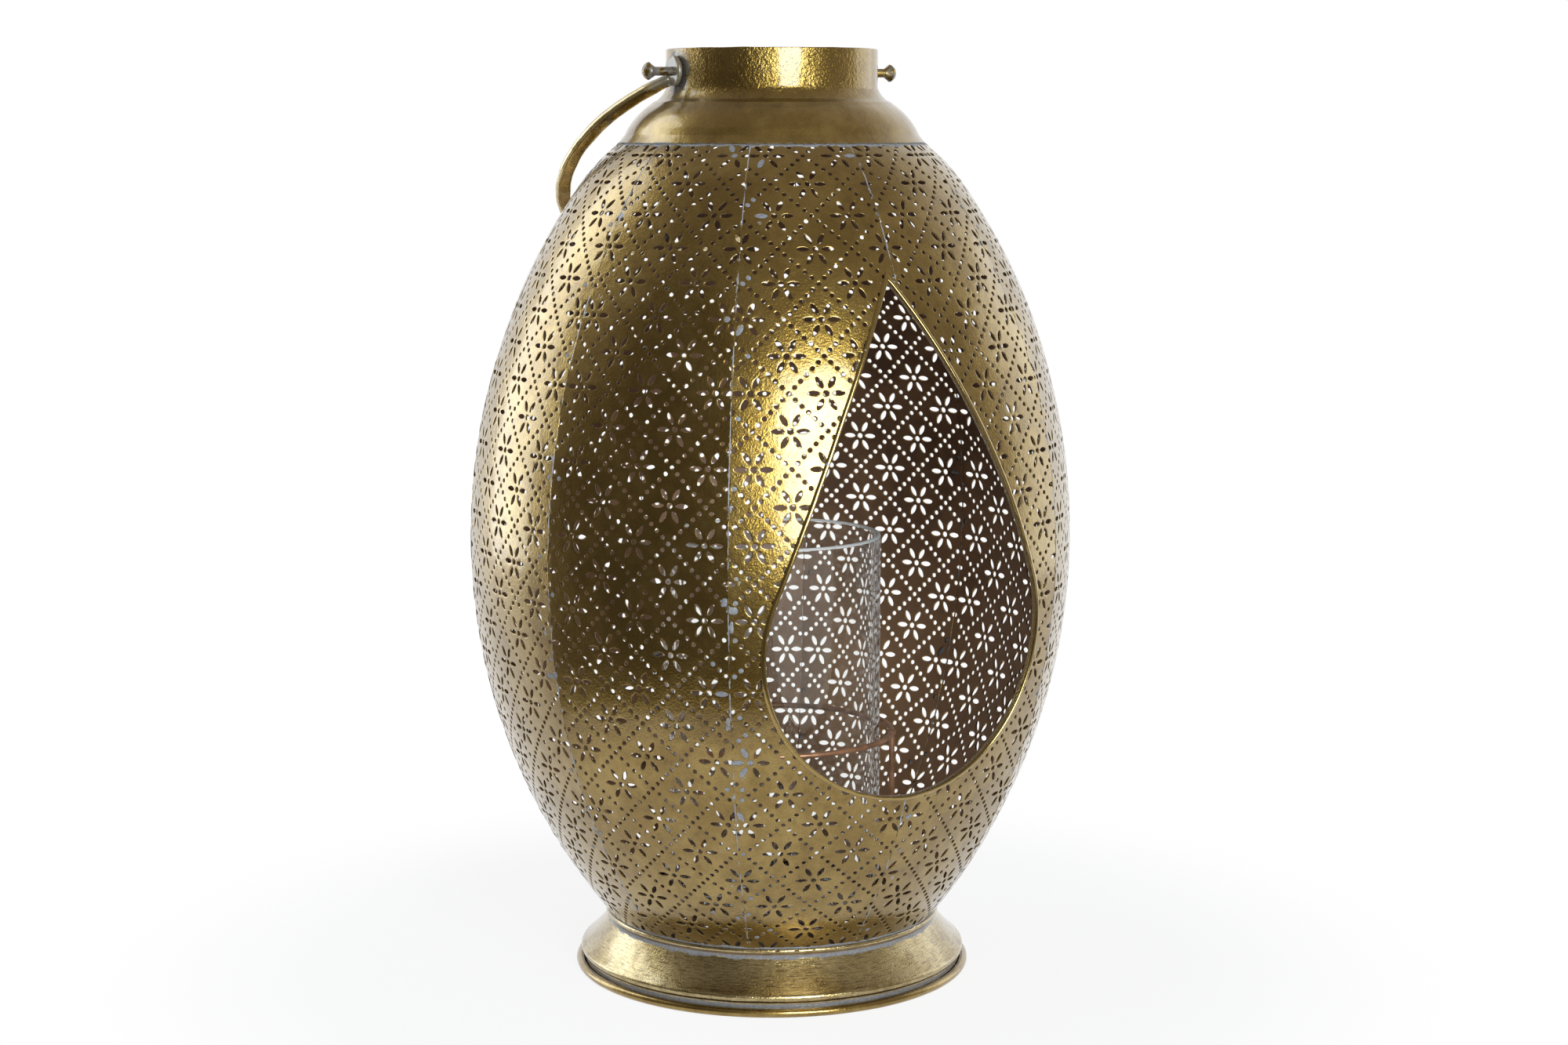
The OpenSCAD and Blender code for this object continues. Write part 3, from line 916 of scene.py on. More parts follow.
@dataclass(frozen=True)
class DarkIron(Finish):
    """Browned iron of the nuts."""

    name: str = "dark_iron"

    def surface(self) -> Wire:
        """Dark brown iron with rust."""
        rust = self.grain(2 * MM, 4.0, 0.65, 1.2).fade(0.5, 0.66)
        tone = self.blend(rust, (0.085, 0.07, 0.055), (0.20, 0.09, 0.04))
        normal = self.bump(self.grain(0.7 * MM, 3.0, 0.6, 2.2), 0.06 * MM)
        return self.principled(tone, 0.8, rust * 0.3 + 0.38, Normal=normal)


@dataclass(frozen=True)
class ClearGlass(Finish):
    """Clear blown glass."""

    name: str = "clear_glass"
    cloud: Grain = (30 * MM, 2.0, 0.5, 1.9)
    low: Colour = (0.972, 0.986, 0.980)
    high: Colour = (0.990, 0.996, 0.994)
    rough: float = 0.0
    clear: float = 1.0

    def surface(self) -> Wire:
        """Glass with a trace of dust."""
        tone = self.blend(self.grain(*self.cloud).fade(0.3, 0.7), self.low, self.high)
        return self.principled(tone, 0.0, self.rough, IOR=1.47, Transmission_Weight=self.clear)


@dataclass(frozen=True)
class GroundGlass(ClearGlass):
    """The glass's frosted lip, with a fine grain."""

    name: str = "ground_glass"
    cloud: Grain = (0.5 * MM, 2.0, 0.5, 1.1)
    low: Colour = (0.90, 0.92, 0.92)
    high: Colour = (0.98, 0.99, 0.99)
    rough: float = 0.42
    clear: float = 0.55


GOLD = GoldLeaf()
SHELL_GOLD = ShellLeaf()
COLLAR_GOLD = CollarLeaf()
FOOT_GOLD = FootLeaf()
SEAM_GOLD = SeamLeaf()
RIM_GOLD = RimLeaf()
PIN_GOLD = AgedPin()
BAIL_GOLD = BailLeaf()
INSIDE = BrownedInside()
SOLDER = Solder()
COPPER = CopperWire()
PLATE = BrownedPlate()
NUT_IRON = DarkIron()
GLASS = ClearGlass()
GLASS_LIP = GroundGlass()


def dress(piece: Piece, *finishes: Finish) -> None:
    """Fills a piece's material slots in order."""
    piece.data.materials.clear()
    for finish in finishes:
        piece.data.materials.append(finish.material)


def hand_over(
    piece: Piece,
    body: Body,
    slot: str,
    *nodes: str,
    finish: Finish | None = None,
    degrees: float = 0,
) -> None:
    """Gives a finished piece to its body.

    Args:
        piece: The piece, in place.
        body: Body that it moves with.
        slot: Material slot of the record, not used.
        *nodes: Solids that it stands for.
        finish: Its finish, where it isn't dressed yet.
        degrees: Angle up to which it is shaded smooth, 0 where that is done.
    """
    if finish:
        dress(piece, finish)
    if degrees:
        Bench.smooth(piece, degrees)
    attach(piece, body.value)
    if nodes:
        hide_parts(*nodes)
    size = len(piece.data.polygons)
    log.info("%.1f s %s: %d faces, rides on %s", time.process_time(), piece.name, size, body.value)


# Egg


@dataclass(frozen=True)
class EggForm:
    """The egg's outline: an arc up to the widest place, one past it, and the shoulder's."""

    wide_r: float = 150 * MM
    wide_z: float = 219.2 * MM
    foot_z: float = 29.2 * MM
    foot_r: float = 83.7 * MM
    lip_z: float = 414.2 * MM
    lip_r: float = 75.2 * MM
    shoulder_in: float = 3.9 * MM
    shoulder_arc: float = 88 * MM
    wall: float = 0.8 * MM
    gores: int = 10
    flat: float = 0.24
    flat_middle: float = 0.972
    flat_low: float = 60 * MM
    flat_end_z: float = 352 * MM
    flat_high: float = 65 * MM

    @staticmethod
    def arc_radius(drop: float, height: float) -> float:
        """Radius of the arc that draws in by a drop over a height."""
        return (drop * drop + height * height) / (2 * drop)

    @cached_property
    def low_arc(self) -> float:
        """Radius of the arc below the widest place."""
        return self.arc_radius(self.wide_r - self.foot_r, self.wide_z - self.foot_z)

    @cached_property
    def up_arc(self) -> float:
        """Radius of the arc above the widest place."""
        return self.arc_radius(self.wide_r - self.lip_r - self.shoulder_in, self.lip_z - self.wide_z)

    @cached_property
    def shoulder_angle(self) -> float:
        """Angle of the upper arc at which the shoulder's arc begins."""
        span = (self.lip_r - self.wide_r + self.up_arc, self.lip_z - self.wide_z)
        reach, rest = math.hypot(*span), self.up_arc - self.shoulder_arc
        turn = math.acos((reach**2 + rest**2 - self.shoulder_arc**2) / (2 * reach * rest))
        return math.atan2(span[1], span[0]) - turn

    @cached_property
    def shoulder_centre(self) -> Point:
        """Radius and height of the centre of the shoulder's arc."""
        rest = self.up_arc - self.shoulder_arc
        return (
            self.wide_r - self.up_arc + rest * math.cos(self.shoulder_angle),
            self.wide_z + rest * math.sin(self.shoulder_angle),
        )

    @cached_property
    def shoulder_z(self) -> float:
        """Height at which the shoulder's arc begins."""
        return self.wide_z + self.up_arc * math.sin(self.shoulder_angle)

    def radius(self, z: np.ndarray, grow: float | np.ndarray = 0.0) -> np.ndarray:
        """Radius of the outer face at a height, with its arcs grown."""
        z = np.asarray(z, float)
        low, high, top = (
            middle + np.sqrt(np.maximum((size + grow) ** 2 - (z - height) ** 2, 0))
            for middle, height, size in (
                (self.wide_r - self.low_arc, self.wide_z, self.low_arc),
                (self.wide_r - self.up_arc, self.wide_z, self.up_arc),
                (*self.shoulder_centre, self.shoulder_arc),
            )
        )
        return np.where(z > self.shoulder_z, top, np.where(z > self.wide_z, high, low))

    def height(self, run: np.ndarray) -> np.ndarray:
        """Height at a length along the outline, counted from the widest place."""
        run = np.asarray(run, float)
        turn_run = self.up_arc * self.shoulder_angle
        low = self.wide_z + self.low_arc * np.sin(np.minimum(run, 0) / self.low_arc)
        high = self.wide_z + self.up_arc * np.sin(np.clip(run, 0, turn_run) / self.up_arc)
        angle = self.shoulder_angle + (np.maximum(run, turn_run) - turn_run) / self.shoulder_arc
        top = self.shoulder_centre[1] + self.shoulder_arc * np.sin(angle)
        return np.where(run < 0, low, np.where(run < turn_run, high, top))

    def run(self, z: np.ndarray) -> np.ndarray:
        """Length along the outline at a height."""
        z = np.asarray(z, float)
        low = self.low_arc * np.arcsin(np.clip((z - self.wide_z) / self.low_arc, -1, 1))
        high = self.up_arc * np.arcsin(np.clip((z - self.wide_z) / self.up_arc, -1, 1))
        turn = np.arcsin(np.clip((z - self.shoulder_centre[1]) / self.shoulder_arc, -1, 1))
        top = self.up_arc * self.shoulder_angle + self.shoulder_arc * (turn - self.shoulder_angle)
        return np.where(z < self.wide_z, low, np.where(z < self.shoulder_z, high, top))

    def flatten(self, angle: np.ndarray, z: np.ndarray) -> np.ndarray:
        """Share of the round's radius where the gores are bent less than it across.

        Args:
            angle: Directions about the axis.
            z: Heights.

        Returns:
            The share, a little over 1 at the seams and under 1 between them.
        """
        turn = (np.asarray(angle) - FRONT) % self.gore_angle - self.gore_angle / 2
        rise, fall = (z - self.foot_z) / self.flat_low, (self.flat_end_z - z) / self.flat_high
        amount = self.flat * soft_step(rise) * soft_step(fall)
        return 1 + amount * (self.flat_middle / np.cos(turn) - 1)

    def ahead(self, x: np.ndarray, z: np.ndarray, grow: float = 0.0) -> tuple[np.ndarray, np.ndarray]:
        """Finds the points of the front that are seen at an x and z along Y.

        Args:
            x: Places across.
            z: Heights.
            grow: How far the points stand outside the outer face.

        Returns:
            Their directions from the front's middle and their radii.
        """
        reach = self.radius(z, grow)
        for _ in range(6):
            angle = np.arcsin(x / reach)
            reach = self.radius(z, grow) * self.flatten(FRONT + angle, z)
        return angle, reach

    def place(
        self, direction: float, u: np.ndarray, v: np.ndarray, grow: float | np.ndarray = 0.0
    ) -> np.ndarray:
        """Puts flat points on the egg.

        Args:
            direction: Direction of the flat sheet's middle line.
            u: Lengths across that line, anticlockwise seen from above.
            v: Lengths along it, counted from the widest place.
            grow: How far the points stand outside the outer face.

        Returns:
            Rows of x, y, z.
        """
        z = self.height(v)
        angle = direction + np.asarray(u) / self.radius(z)
        reach = self.radius(z, grow) * self.flatten(angle, z)
        return np.stack([reach * np.cos(angle), reach * np.sin(angle), z], -1)

    @property
    def gore_angle(self) -> float:
        """Angle of one gore."""
        return FULL_TURN / self.gores

    def direction(self, number: int) -> float:
        """Direction of the middle of a gore, counted from 1 at the window's right."""
        return FRONT + (number - 0.5) * self.gore_angle

    @property
    def v_low(self) -> float:
        """Length along the outline at the foot."""
        return float(self.run(self.foot_z))

    @property
    def v_high(self) -> float:
        """Length along the outline at the lip."""
        return float(self.run(self.lip_z))


@dataclass(frozen=True)
class WindowForm:
    """The teardrop hole, seen along Y."""

    radius: float = 74.5 * MM
    height: float = 244 * MM
    middle_z: float = 186.2 * MM
    flank_arc: float = 800 * MM
    lean: float = math.radians(1.5)

    def outline(self, grow: float = 0.0, spacing: float = 2.5 * MM) -> np.ndarray:
        """Points of the grown teardrop, anticlockwise, as x and z."""
        tip = self.height - self.radius
        flank_z = (tip**2 - 2 * self.flank_arc * self.radius + self.radius**2) / (2 * tip)
        flank_x = math.sqrt((self.flank_arc - self.radius) ** 2 - flank_z**2)
        radius, flank = self.radius + grow, self.flank_arc + grow
        touch = math.atan2(-flank_z, flank_x)
        top_z = flank_z + math.sqrt(flank**2 - flank_x**2)
        top = math.atan2(top_z - flank_z, flank_x)
        round_steps = int((math.pi + 2 * touch) * self.radius / spacing)
        flank_steps = int((self.height - self.radius) / spacing)
        turn = np.linspace(touch, top, flank_steps, endpoint=False)
        right = np.stack([flank * np.cos(turn) - flank_x, flank * np.sin(turn) + flank_z], -1)
        left = right[::-1] * (-1, 1)
        turn = np.linspace(math.pi - touch, FULL_TURN + touch, round_steps, endpoint=False)[1:]
        low = np.stack([radius * np.cos(turn), radius * np.sin(turn)], -1)
        points = np.concatenate([right, [[0.0, top_z]], left, low])
        c, s = math.cos(self.lean), math.sin(self.lean)
        return points @ np.array([[c, s], [-s, c]]) + (0.0, self.middle_z)


@dataclass(frozen=True)
class Hole:
    """A punched hole of the flat sheet: a round dot, or a petal with narrow tips."""

    centre: Point
    length: float
    width: float
    turn: float
    points: int

    def grown(self, longer: float, wider: float) -> "Hole":
        """The same hole with more half length and half width."""
        return replace(self, length=self.length + longer, width=self.width + wider)

    def edge(self) -> np.ndarray:
        """Points of its edge."""
        angle = np.arange(self.points) * FULL_TURN / self.points
        if self.length <= self.width:
            angle += math.pi / self.points
        narrow = 1.0 if self.length == self.width else 0.66 + 0.34 * np.abs(np.sin(angle))
        x, y = self.length * np.cos(angle), self.width * np.sin(angle) * narrow
        c, s = math.cos(self.turn), math.sin(self.turn)
        return np.stack([self.centre[0] + c * x - s * y, self.centre[1] + s * x + c * y], -1)


@dataclass(frozen=True)
class PunchPattern:
    """Rows of dots in a lattice of diamonds, each with a flower of six petals in it."""

    pitch_u: float = 34.6 * MM
    pitch_v: float = 34.4 * MM
    dot_r: float = 1.10 * MM
    core_r: float = 1.37 * MM
    petal_l: float = 3.0 * MM
    petal_w: float = 1.20 * MM
    petal_out: float = 5.85 * MM
    side_dots: int = 6
    petals: int = 6
    dot_points: int = 8
    core_points: int = 10
    petal_points: int = 12
    columns: int = 8
    rows: int = 16
    margin: float = 4 * MM

    def cell(self, cu: float, cv: float) -> list[Hole]:
        """The flower at a place, and the dots of its diamond's two right sides."""
        found = [Hole((cu, cv), self.core_r, self.core_r, 0.0, self.core_points)]
        for k in range(self.petals):
            turn = k * FULL_TURN / self.petals
            centre = (cu + self.petal_out * math.cos(turn), cv + self.petal_out * math.sin(turn))
            found.append(Hole(centre, self.petal_l, self.petal_w, turn, self.petal_points))
        corner = cu + self.pitch_u / 2
        spots = [(corner, cv)]
        for side in (-1, 1):
            for k in range(1, self.side_dots):
                along = k * self.pitch_v / 2 / self.side_dots
                spots.append((corner - k * self.pitch_u / 2 / self.side_dots, cv + side * along))
        return found + [Hole(spot, self.dot_r, self.dot_r, 0.0, self.dot_points) for spot in spots]

    def holes(self, u_reach: float, v_low: float, v_high: float, u0: float, v0: float) -> list[Hole]:
        """The holes of a sheet.

        Args:
            u_reach: Half the sheet's greatest width.
            v_low: Its lowest place.
            v_high: Its highest place.
            u0: Place of one flower across.
            v0: Place of the same flower along.

        Returns:
            The holes on the sheet and a little past its edges.
        """
        found = []
        for i in range(-self.columns, self.columns + 1):
            for j in range(-self.rows, self.rows + 1):
                cu, cv = u0 + i * self.pitch_u / 2, v0 + j * self.pitch_v / 2
                on_sheet = v_low - self.pitch_v < cv < v_high + self.pitch_v
                if (i + j) % 2 == 0 and on_sheet and abs(cu) < u_reach + self.pitch_u:
                    found += self.cell(cu, cv)
        return [
            hole
            for hole in found
            if abs(hole.centre[0]) < u_reach + self.margin
            and v_low - self.margin < hole.centre[1] < v_high + self.margin
        ]


@dataclass
class PiercedShell:
    """The ten pierced gores."""

    egg: EggForm = field(default_factory=EggForm)
    window: WindowForm = field(default_factory=WindowForm)
    pattern: PunchPattern = field(default_factory=PunchPattern)
    edge_gap: float = 0.22 * MM
    edge_step: float = 2.5 * MM
    roll: float = 0.14 * MM
    roll_reach: float = 0.42 * MM
    # Place across of a flower on each gore, in mm
    flower_u: tuple[float, ...] = (-1.0, -3.0, 1.2, -1.4, 0.6, -0.8, 1.8, 0.8, 1.5, -0.5)
    flower_v: float = 17.0 * MM

    def half_width(self, v: np.ndarray) -> np.ndarray:
        """Half a gore's width at a place along it, up to its edge."""
        return self.egg.gore_angle / 2 * self.egg.radius(self.egg.height(v)) - self.edge_gap

    def edge(self) -> np.ndarray:
        """The closed edge of a flat gore."""
        egg = self.egg
        steps = int((egg.v_high - egg.v_low) / self.edge_step)
        v = np.linspace(egg.v_low, egg.v_high, steps)
        half = self.half_width(v)
        low = np.linspace(-half[0], half[0], 20)[1:-1]
        high = np.linspace(half[-1], -half[-1], 18)[1:-1]
        return np.concatenate([
            np.stack([low, np.full_like(low, egg.v_low)], -1),
            np.stack([half, v], -1),
            np.stack([high, np.full_like(high, egg.v_high)], -1),
            np.stack([-half[::-1], v[::-1]], -1),
        ])

    def window_edge(self, number: int) -> np.ndarray:
        """The window's edge on the flat sheet of a gore."""
        x, z = self.window.outline().T
        angle = FRONT + self.egg.ahead(x, z)[0] - self.egg.direction(number)
        angle = (angle + math.pi) % FULL_TURN - math.pi
        return np.stack([angle * self.egg.radius(z), self.egg.run(z)], -1)

    def holes(self, number: int) -> list[Hole]:
        """The punched holes of a gore."""
        egg = self.egg
        reach = float(self.half_width(np.array([0.0]))[0])
        across = self.flower_u[number - 1] * MM
        return self.pattern.holes(reach, egg.v_low, egg.v_high, across, self.flower_v)

    def flat_sheet(self, number: int) -> tuple[np.ndarray, list[list[int]], np.ndarray]:
        """Cuts the flat sheet of a gore into triangles with its holes left open.

        Args:
            number: Number of the gore.

        Returns:
            The points, the triangles, and for each point whether it is on a hole's edge.
        """
        loops = [self.edge()]
        if number in (1, self.egg.gores):
            loops.append(self.window_edge(number))
        first_hole = sum(len(loop) for loop in loops)
        holes = self.holes(number)
        loops += [hole.edge() for hole in holes]
        rings = [hole.grown(self.roll_reach, self.roll_reach).edge() for hole in holes]
        spots = np.concatenate(loops + rings)
        faces, start = [], 0
        for loop in loops:
            faces.append(list(range(start, start + len(loop))))
            start += len(loop)
        vertices, _, triangles, sources, _, owners = delaunay_2d_cdt(
            [Vector(p) for p in spots], [], faces, 0, FINE_WELD
        )
        kept = [list(t) for t, owner in zip(triangles, owners) if owner == [0]]
        on_edge = np.array([not s or any(first_hole <= i < start for i in s) for s in sources])
        flat = np.array([tuple(v) for v in vertices])
        used = sorted({i for t in kept for i in t})
        new = {old: i for i, old in enumerate(used)}
        return flat[used], [[new[i] for i in t] for t in kept], on_edge[used]

    def gore(self, number: int) -> Piece:
        """Builds one gore and dresses it."""
        flat, triangles, on_edge = self.flat_sheet(number)
        sink = np.where(on_edge, -self.roll, 0.0)
        points = self.egg.place(self.egg.direction(number), flat[:, 0], flat[:, 1], sink)
        piece = Bench.lay_out(f"pierced_gore_{number:02d}", points, triangles)
        dress(piece, SHELL_GOLD, INSIDE)
        Bench.finish(
            piece, "SOLIDIFY", thickness=self.egg.wall, offset=-1.0, use_even_offset=False,
            material_offset=1, material_offset_rim=0,
        )
        Bench.finish(piece, "TRIANGULATE")
        Bench.smooth(piece, 40)
        Bench.finish(piece, "WEIGHTED_NORMAL", mode="FACE_AREA", weight=50, keep_sharp=True)
        return piece

    def build(self) -> None:
        """Builds all ten gores."""
        for number in range(1, self.egg.gores + 1):
            hand_over(self.gore(number), Body.ROOT, "pierced_gold", f"gore_{number:02d}")


@dataclass
class SeamSolder:
    """The solder in the seams, round the collar and round the foot, with its drops."""

    shell: PiercedShell
    step: float = 1.5 * MM
    half: float = 0.27 * MM
    proud: float = 0.16 * MM
    wander: float = 0.22 * MM
    seed: float = 11.0
    wave: float = 7 * MM
    sunk: float = 0.25 * MM
    root: float = 0.2 * MM
    drop_rise: float = 0.12 * MM
    drop_sink: float = 0.7 * MM
    drop_over: Point = (0.15 * MM, 0.12 * MM)
    smear_rise: float = 0.22 * MM
    smear_sink: float = 0.1 * MM
    smears_drawn: int = 16
    smear_points: int = 18
    hoop_steps: int = 420
    hoop_rise: float = 0.28 * MM
    hoop_sink: float = 0.4 * MM
    end_gap: float = 2 * MM
    window_gap: float = 9 * MM
    spill: float = 2.2 * MM
    # Place across, height, half width and half height of each smear left of the window, in mm
    smeared: tuple[tuple[float, float, float, float], ...] = (
        (2.0, 207.0, 3.4, 2.2), (1.4, 199.0, 1.6, 2.8), (0.6, 253.0, 1.3, 1.9), (-1.2, 152.0, 1.5, 2.2)
    )

    def spans(self, seam: int) -> list[Point]:
        """The lengths of a seam between foot, window and collar."""
        egg = self.shell.egg
        low, high = egg.v_low + 0.6 * MM, egg.v_high - 0.4 * MM
        if seam:
            return [(low, high)]
        points = self.shell.window.outline()
        crossings = []
        for (x1, z1), (x2, z2) in zip(points, np.roll(points, -1, 0)):
            if x1 * x2 < 0:
                crossings.append(z1 + (z2 - z1) * x1 / (x1 - x2))
        return [(low, float(egg.run(min(crossings)))), (float(egg.run(max(crossings))), high)]

    def bead(self, seam: int, low: float, high: float) -> Mesh:
        """Points and faces of one bead, with wandering edges, thin where it has sunk into the seam."""
        egg = self.shell.egg
        direction = FRONT + seam * egg.gore_angle
        count = max(4, int((high - low) / self.step))
        rings = []
        for v in np.linspace(low, high, count):
            spot = Vector((v / self.wave, seam * 3.7 + self.seed, 0.0))
            body = noise.noise(spot) + 0.5 * noise.noise(spot * 2.7)
            lump = max(0.0, noise.noise(spot * 1.9 + Vector((0, 0, 9))) - 0.28) * 3.2
            fill = min(1.0, max(0.0, (body + 0.42) * 2.2))
            half = self.half * (0.42 + 0.58 * fill + 1.3 * lump)
            top = -self.sunk + (self.proud + self.sunk) * (fill + 0.35 * lump)
            mid = self.wander * noise.noise(spot * 1.3 + Vector((5, 0, 0)))
            wall = egg.wall
            section = [
                (-1.0, -0.5 * wall), (-1.0, min(0.0, top)), (-0.6, top * 0.75), (0.0, top),
                (0.6, top * 0.75), (1.0, min(0.0, top)), (1.0, -0.5 * wall), (0.7, -wall),
                (0.0, -wall - self.root), (-0.7, -wall),
            ]
            u = np.array([mid + half * s for s, _ in section])
            rings.append(egg.place(direction, u, np.full(len(u), v), np.array([g for _, g in section])))
        return np.concatenate(rings), skin(count, len(rings[0]), closed=False)

    def drop(self, direction: float, ring: np.ndarray, rise: float, sink: float) -> Mesh:
        """Points and faces of a drop of solder.

        Args:
            direction: Direction of the flat sheet's middle line.
            ring: Closed flat outline of the drop.
            rise: Height over the sheet.
            sink: Depth below the sheet's outer face.

        Returns:
            The points and faces.
        """
        egg = self.shell.egg
        count = len(ring)
        middle = ring.mean(0)
        inner = middle + (ring - middle) * 0.6
        flat = np.concatenate([ring, inner, [middle], inner, [middle]])
        grow = np.concatenate([
            np.full(count, 0.02 * MM), np.full(count, rise * 0.8), [rise], np.full(count, -sink), [-sink]
        ])
        top, low, base = 2 * count, 2 * count + 1, 3 * count + 1
        faces = []
        for k in range(count):
            m = (k + 1) % count
            faces += [(k, m, count + m, count + k), (count + k, count + m, top)]
            faces += [(m, k, low + k, low + m), (low + m, low + k, base)]
        return egg.place(direction, flat[:, 0], flat[:, 1], grow), faces

    def stopped(self, number: int) -> list[Mesh]:
        """Drops that stop some of the holes near a gore's edges, more of them near its top."""
        egg = self.shell.egg
        rng = random.Random(100 + number)
        sloppy = {side: rng.uniform(0.06, 0.30) for side in Side}
        if number == egg.gores:
            sloppy[Side.LEFT] = 0.95
        drops = []
        window = self.shell.window_edge(number) if number in (1, egg.gores) else None
        for hole in self.shell.holes(number):
            u, v = hole.centre
            if not egg.v_low + self.end_gap < v < egg.v_high - self.end_gap:
                continue
            away = float(self.shell.half_width(np.array([v]))[0]) - abs(u)
            high = 0.5 * max(0.0, v / egg.v_high) ** 3
            chance = max(high, sloppy[Side.LEFT if u < 0 else Side.RIGHT])
            chance *= min(1.0, math.exp(1 - away / self.spill))
            chance *= 0.45 if hole.length > hole.width else 1.0
            if away < hole.width + 0.3 * MM or rng.random() > chance:
                continue
            if window is not None and (
                self.encloses(window, hole.centre) or self.apart(window, hole.centre) < self.window_gap
            ):
                continue
            ring = hole.grown(*self.drop_over).edge()
            drops.append(self.drop(egg.direction(number), ring, self.drop_rise, self.drop_sink))
        return drops

    @staticmethod
    def apart(outline: np.ndarray, spot: Point) -> float:
        """Distance of a spot from the nearest corner of an outline."""
        return float(np.linalg.norm(outline - spot, axis=1).min())

    @staticmethod
    def encloses(outline: np.ndarray, spot: Point) -> bool:
        """Whether a closed outline goes round a spot."""
        here, then = outline - spot, np.roll(outline, -1, 0) - spot
        turned = np.arctan2(here[:, 0] * then[:, 1] - here[:, 1] * then[:, 0], (here * then).sum(1))
        return abs(turned.sum()) > math.pi

    def smears(self) -> list[Mesh]:
        """The larger spills beside a front seam and a few round the back."""
        egg = self.shell.egg
        rng = random.Random(5)
        spots = [
            (-1, u * MM, float(egg.run(z * MM)), wide * MM, tall * MM) for u, z, wide, tall in self.smeared
        ]
        for _ in range(self.smears_drawn):
            seam = rng.randrange(1, egg.gores)
            spots.append((
                seam, rng.uniform(-2, 2) * MM, rng.uniform(egg.v_low * 0.9, egg.v_high * 0.9),
                rng.uniform(1.0, 2.2) * MM, rng.uniform(1.0, 2.6) * MM,
            ))
        found = []
        for seam, u, v, wide, tall in spots:
            turn = np.arange(self.smear_points) * FULL_TURN / self.smear_points
            wave = np.array([
                0.8 + 0.5 * noise.noise(Vector((math.cos(t) * 1.4, math.sin(t) * 1.4, u * 999 + v * 77)))
                for t in turn
            ])
            ring = np.stack([u + wide * wave * np.cos(turn), v + tall * wave * np.sin(turn)], -1)
            direction = FRONT + seam * egg.gore_angle
            found.append(self.drop(direction, ring, self.smear_rise, self.smear_sink))
        return found

    def hoop(self, name: str, v: float, away: int, reach: Point) -> Piece:
        """A ring of solder where the shell meets the collar or the foot.

        Args:
            name: Name of the piece.
            v: Place of the joint along the outline.
            away: 1 where the solder spreads upwards from the joint, -1 where downwards.
            reach: Least and greatest spread.

        Returns:
            The ring.
        """
        egg = self.shell.egg
        steps = self.hoop_steps
        rings = []
        for i in range(steps):
            angle = i * FULL_TURN / steps
            spot = Vector((math.cos(angle), math.sin(angle), v * 3)) * 9
            wave = noise.noise(spot) + 0.6 * noise.noise(spot * 3.1)
            spread = reach[0] + (reach[1] - reach[0]) * min(1.0, max(0.0, 0.5 + wave))
            rise = self.hoop_rise * (0.7 + 0.5 * noise.noise(spot * 2.2))
            section = [
                (-0.1 * MM, -self.hoop_sink), (-0.1 * MM, rise), (0.45 * spread, rise * 1.1),
                (0.85 * spread, rise * 0.6), (spread, 0.0), (spread, -self.hoop_sink),
            ]
            run = np.array([v + away * s for s, _ in section])
            rings.append(egg.place(angle, np.zeros(len(run)), run, np.array([g for _, g in section])))
        piece = Bench.lay_out(name, np.concatenate(rings), skin(steps, len(rings[0])))
        Bench.tidy(piece)
        return piece

    def build(self) -> None:
        """Builds all the solder."""
        egg = self.shell.egg
        seams = [self.bead(seam, *span) for seam in range(egg.gores) for span in self.spans(seam)]
        drops = [drop for number in range(1, egg.gores + 1) for drop in self.stopped(number)]
        drops += self.smears()
        points, faces, start = [], [], 0
        for own_points, own_faces in seams + drops:
            points.append(own_points)
            faces += [tuple(start + i for i in f) for f in own_faces]
            start += len(own_points)
        piece = Bench.lay_out("seam_solder", np.concatenate(points), faces)
        gilded = sum(len(own_faces) for _, own_faces in seams)
        dress(piece, SEAM_GOLD, SOLDER)
        piece.data.polygons.foreach_set("material_index", [int(i >= gilded) for i in range(len(faces))])
        Bench.tidy(piece, FINE_WELD)
        hand_over(piece, Body.ROOT, "solder", "seam_welds", degrees=50)
        for name, v, away, reach in (
            ("collar_solder", egg.v_high, -1, (0.5 * MM, 2.4 * MM)),
            ("foot_solder", egg.v_low, 1, (0.4 * MM, 1.9 * MM)),
        ):
            hand_over(self.hoop(name, v, away, reach), Body.ROOT, "solder", finish=SOLDER, degrees=50)


@dataclass
class WindowRim:
    """The turned rim of the window."""

    egg: EggForm
    window: WindowForm
    width: float = 2.1 * MM
    spread: float = 0.5 * MM
    proud: float = 0.9 * MM
    depth: float = 3.3 * MM
    round: float = 0.8 * MM
    dents: Dents = (0.09 * MM, 5 * MM, 1.7)

    def section(self) -> list[Point]:
        """Growth of the teardrop and height over the shell, round the rim's section."""
        out, back = self.spread - self.round, self.spread + self.round - self.width
        top, low = self.proud - self.round, self.round - self.depth
        points = []
        for corner, (x, y) in enumerate(((out, top), (back, top), (back, low), (out, low))):
            for k in range(4):
                angle = corner * math.pi / 2 + k * math.pi / 6
                points.append((x + self.round * math.cos(angle), y + self.round * math.sin(angle)))
        return points

    def build(self) -> None:
        """Builds the rim."""
        loops = []
        for grow, over in self.section():
            x, z = self.window.outline(grow).T
            y = -np.sqrt(self.egg.ahead(x, z, over)[1] ** 2 - x * x)
            loops.append(np.stack([x, y, z], -1))
        piece = Bench.lay_out("window_edge", np.concatenate(loops), skin(len(loops), len(loops[0])))
        Bench.tidy(piece)
        Bench.dent(piece, self.dents)
        hand_over(piece, Body.ROOT, "gold_leaf", "window_rim", finish=RIM_GOLD, degrees=40)


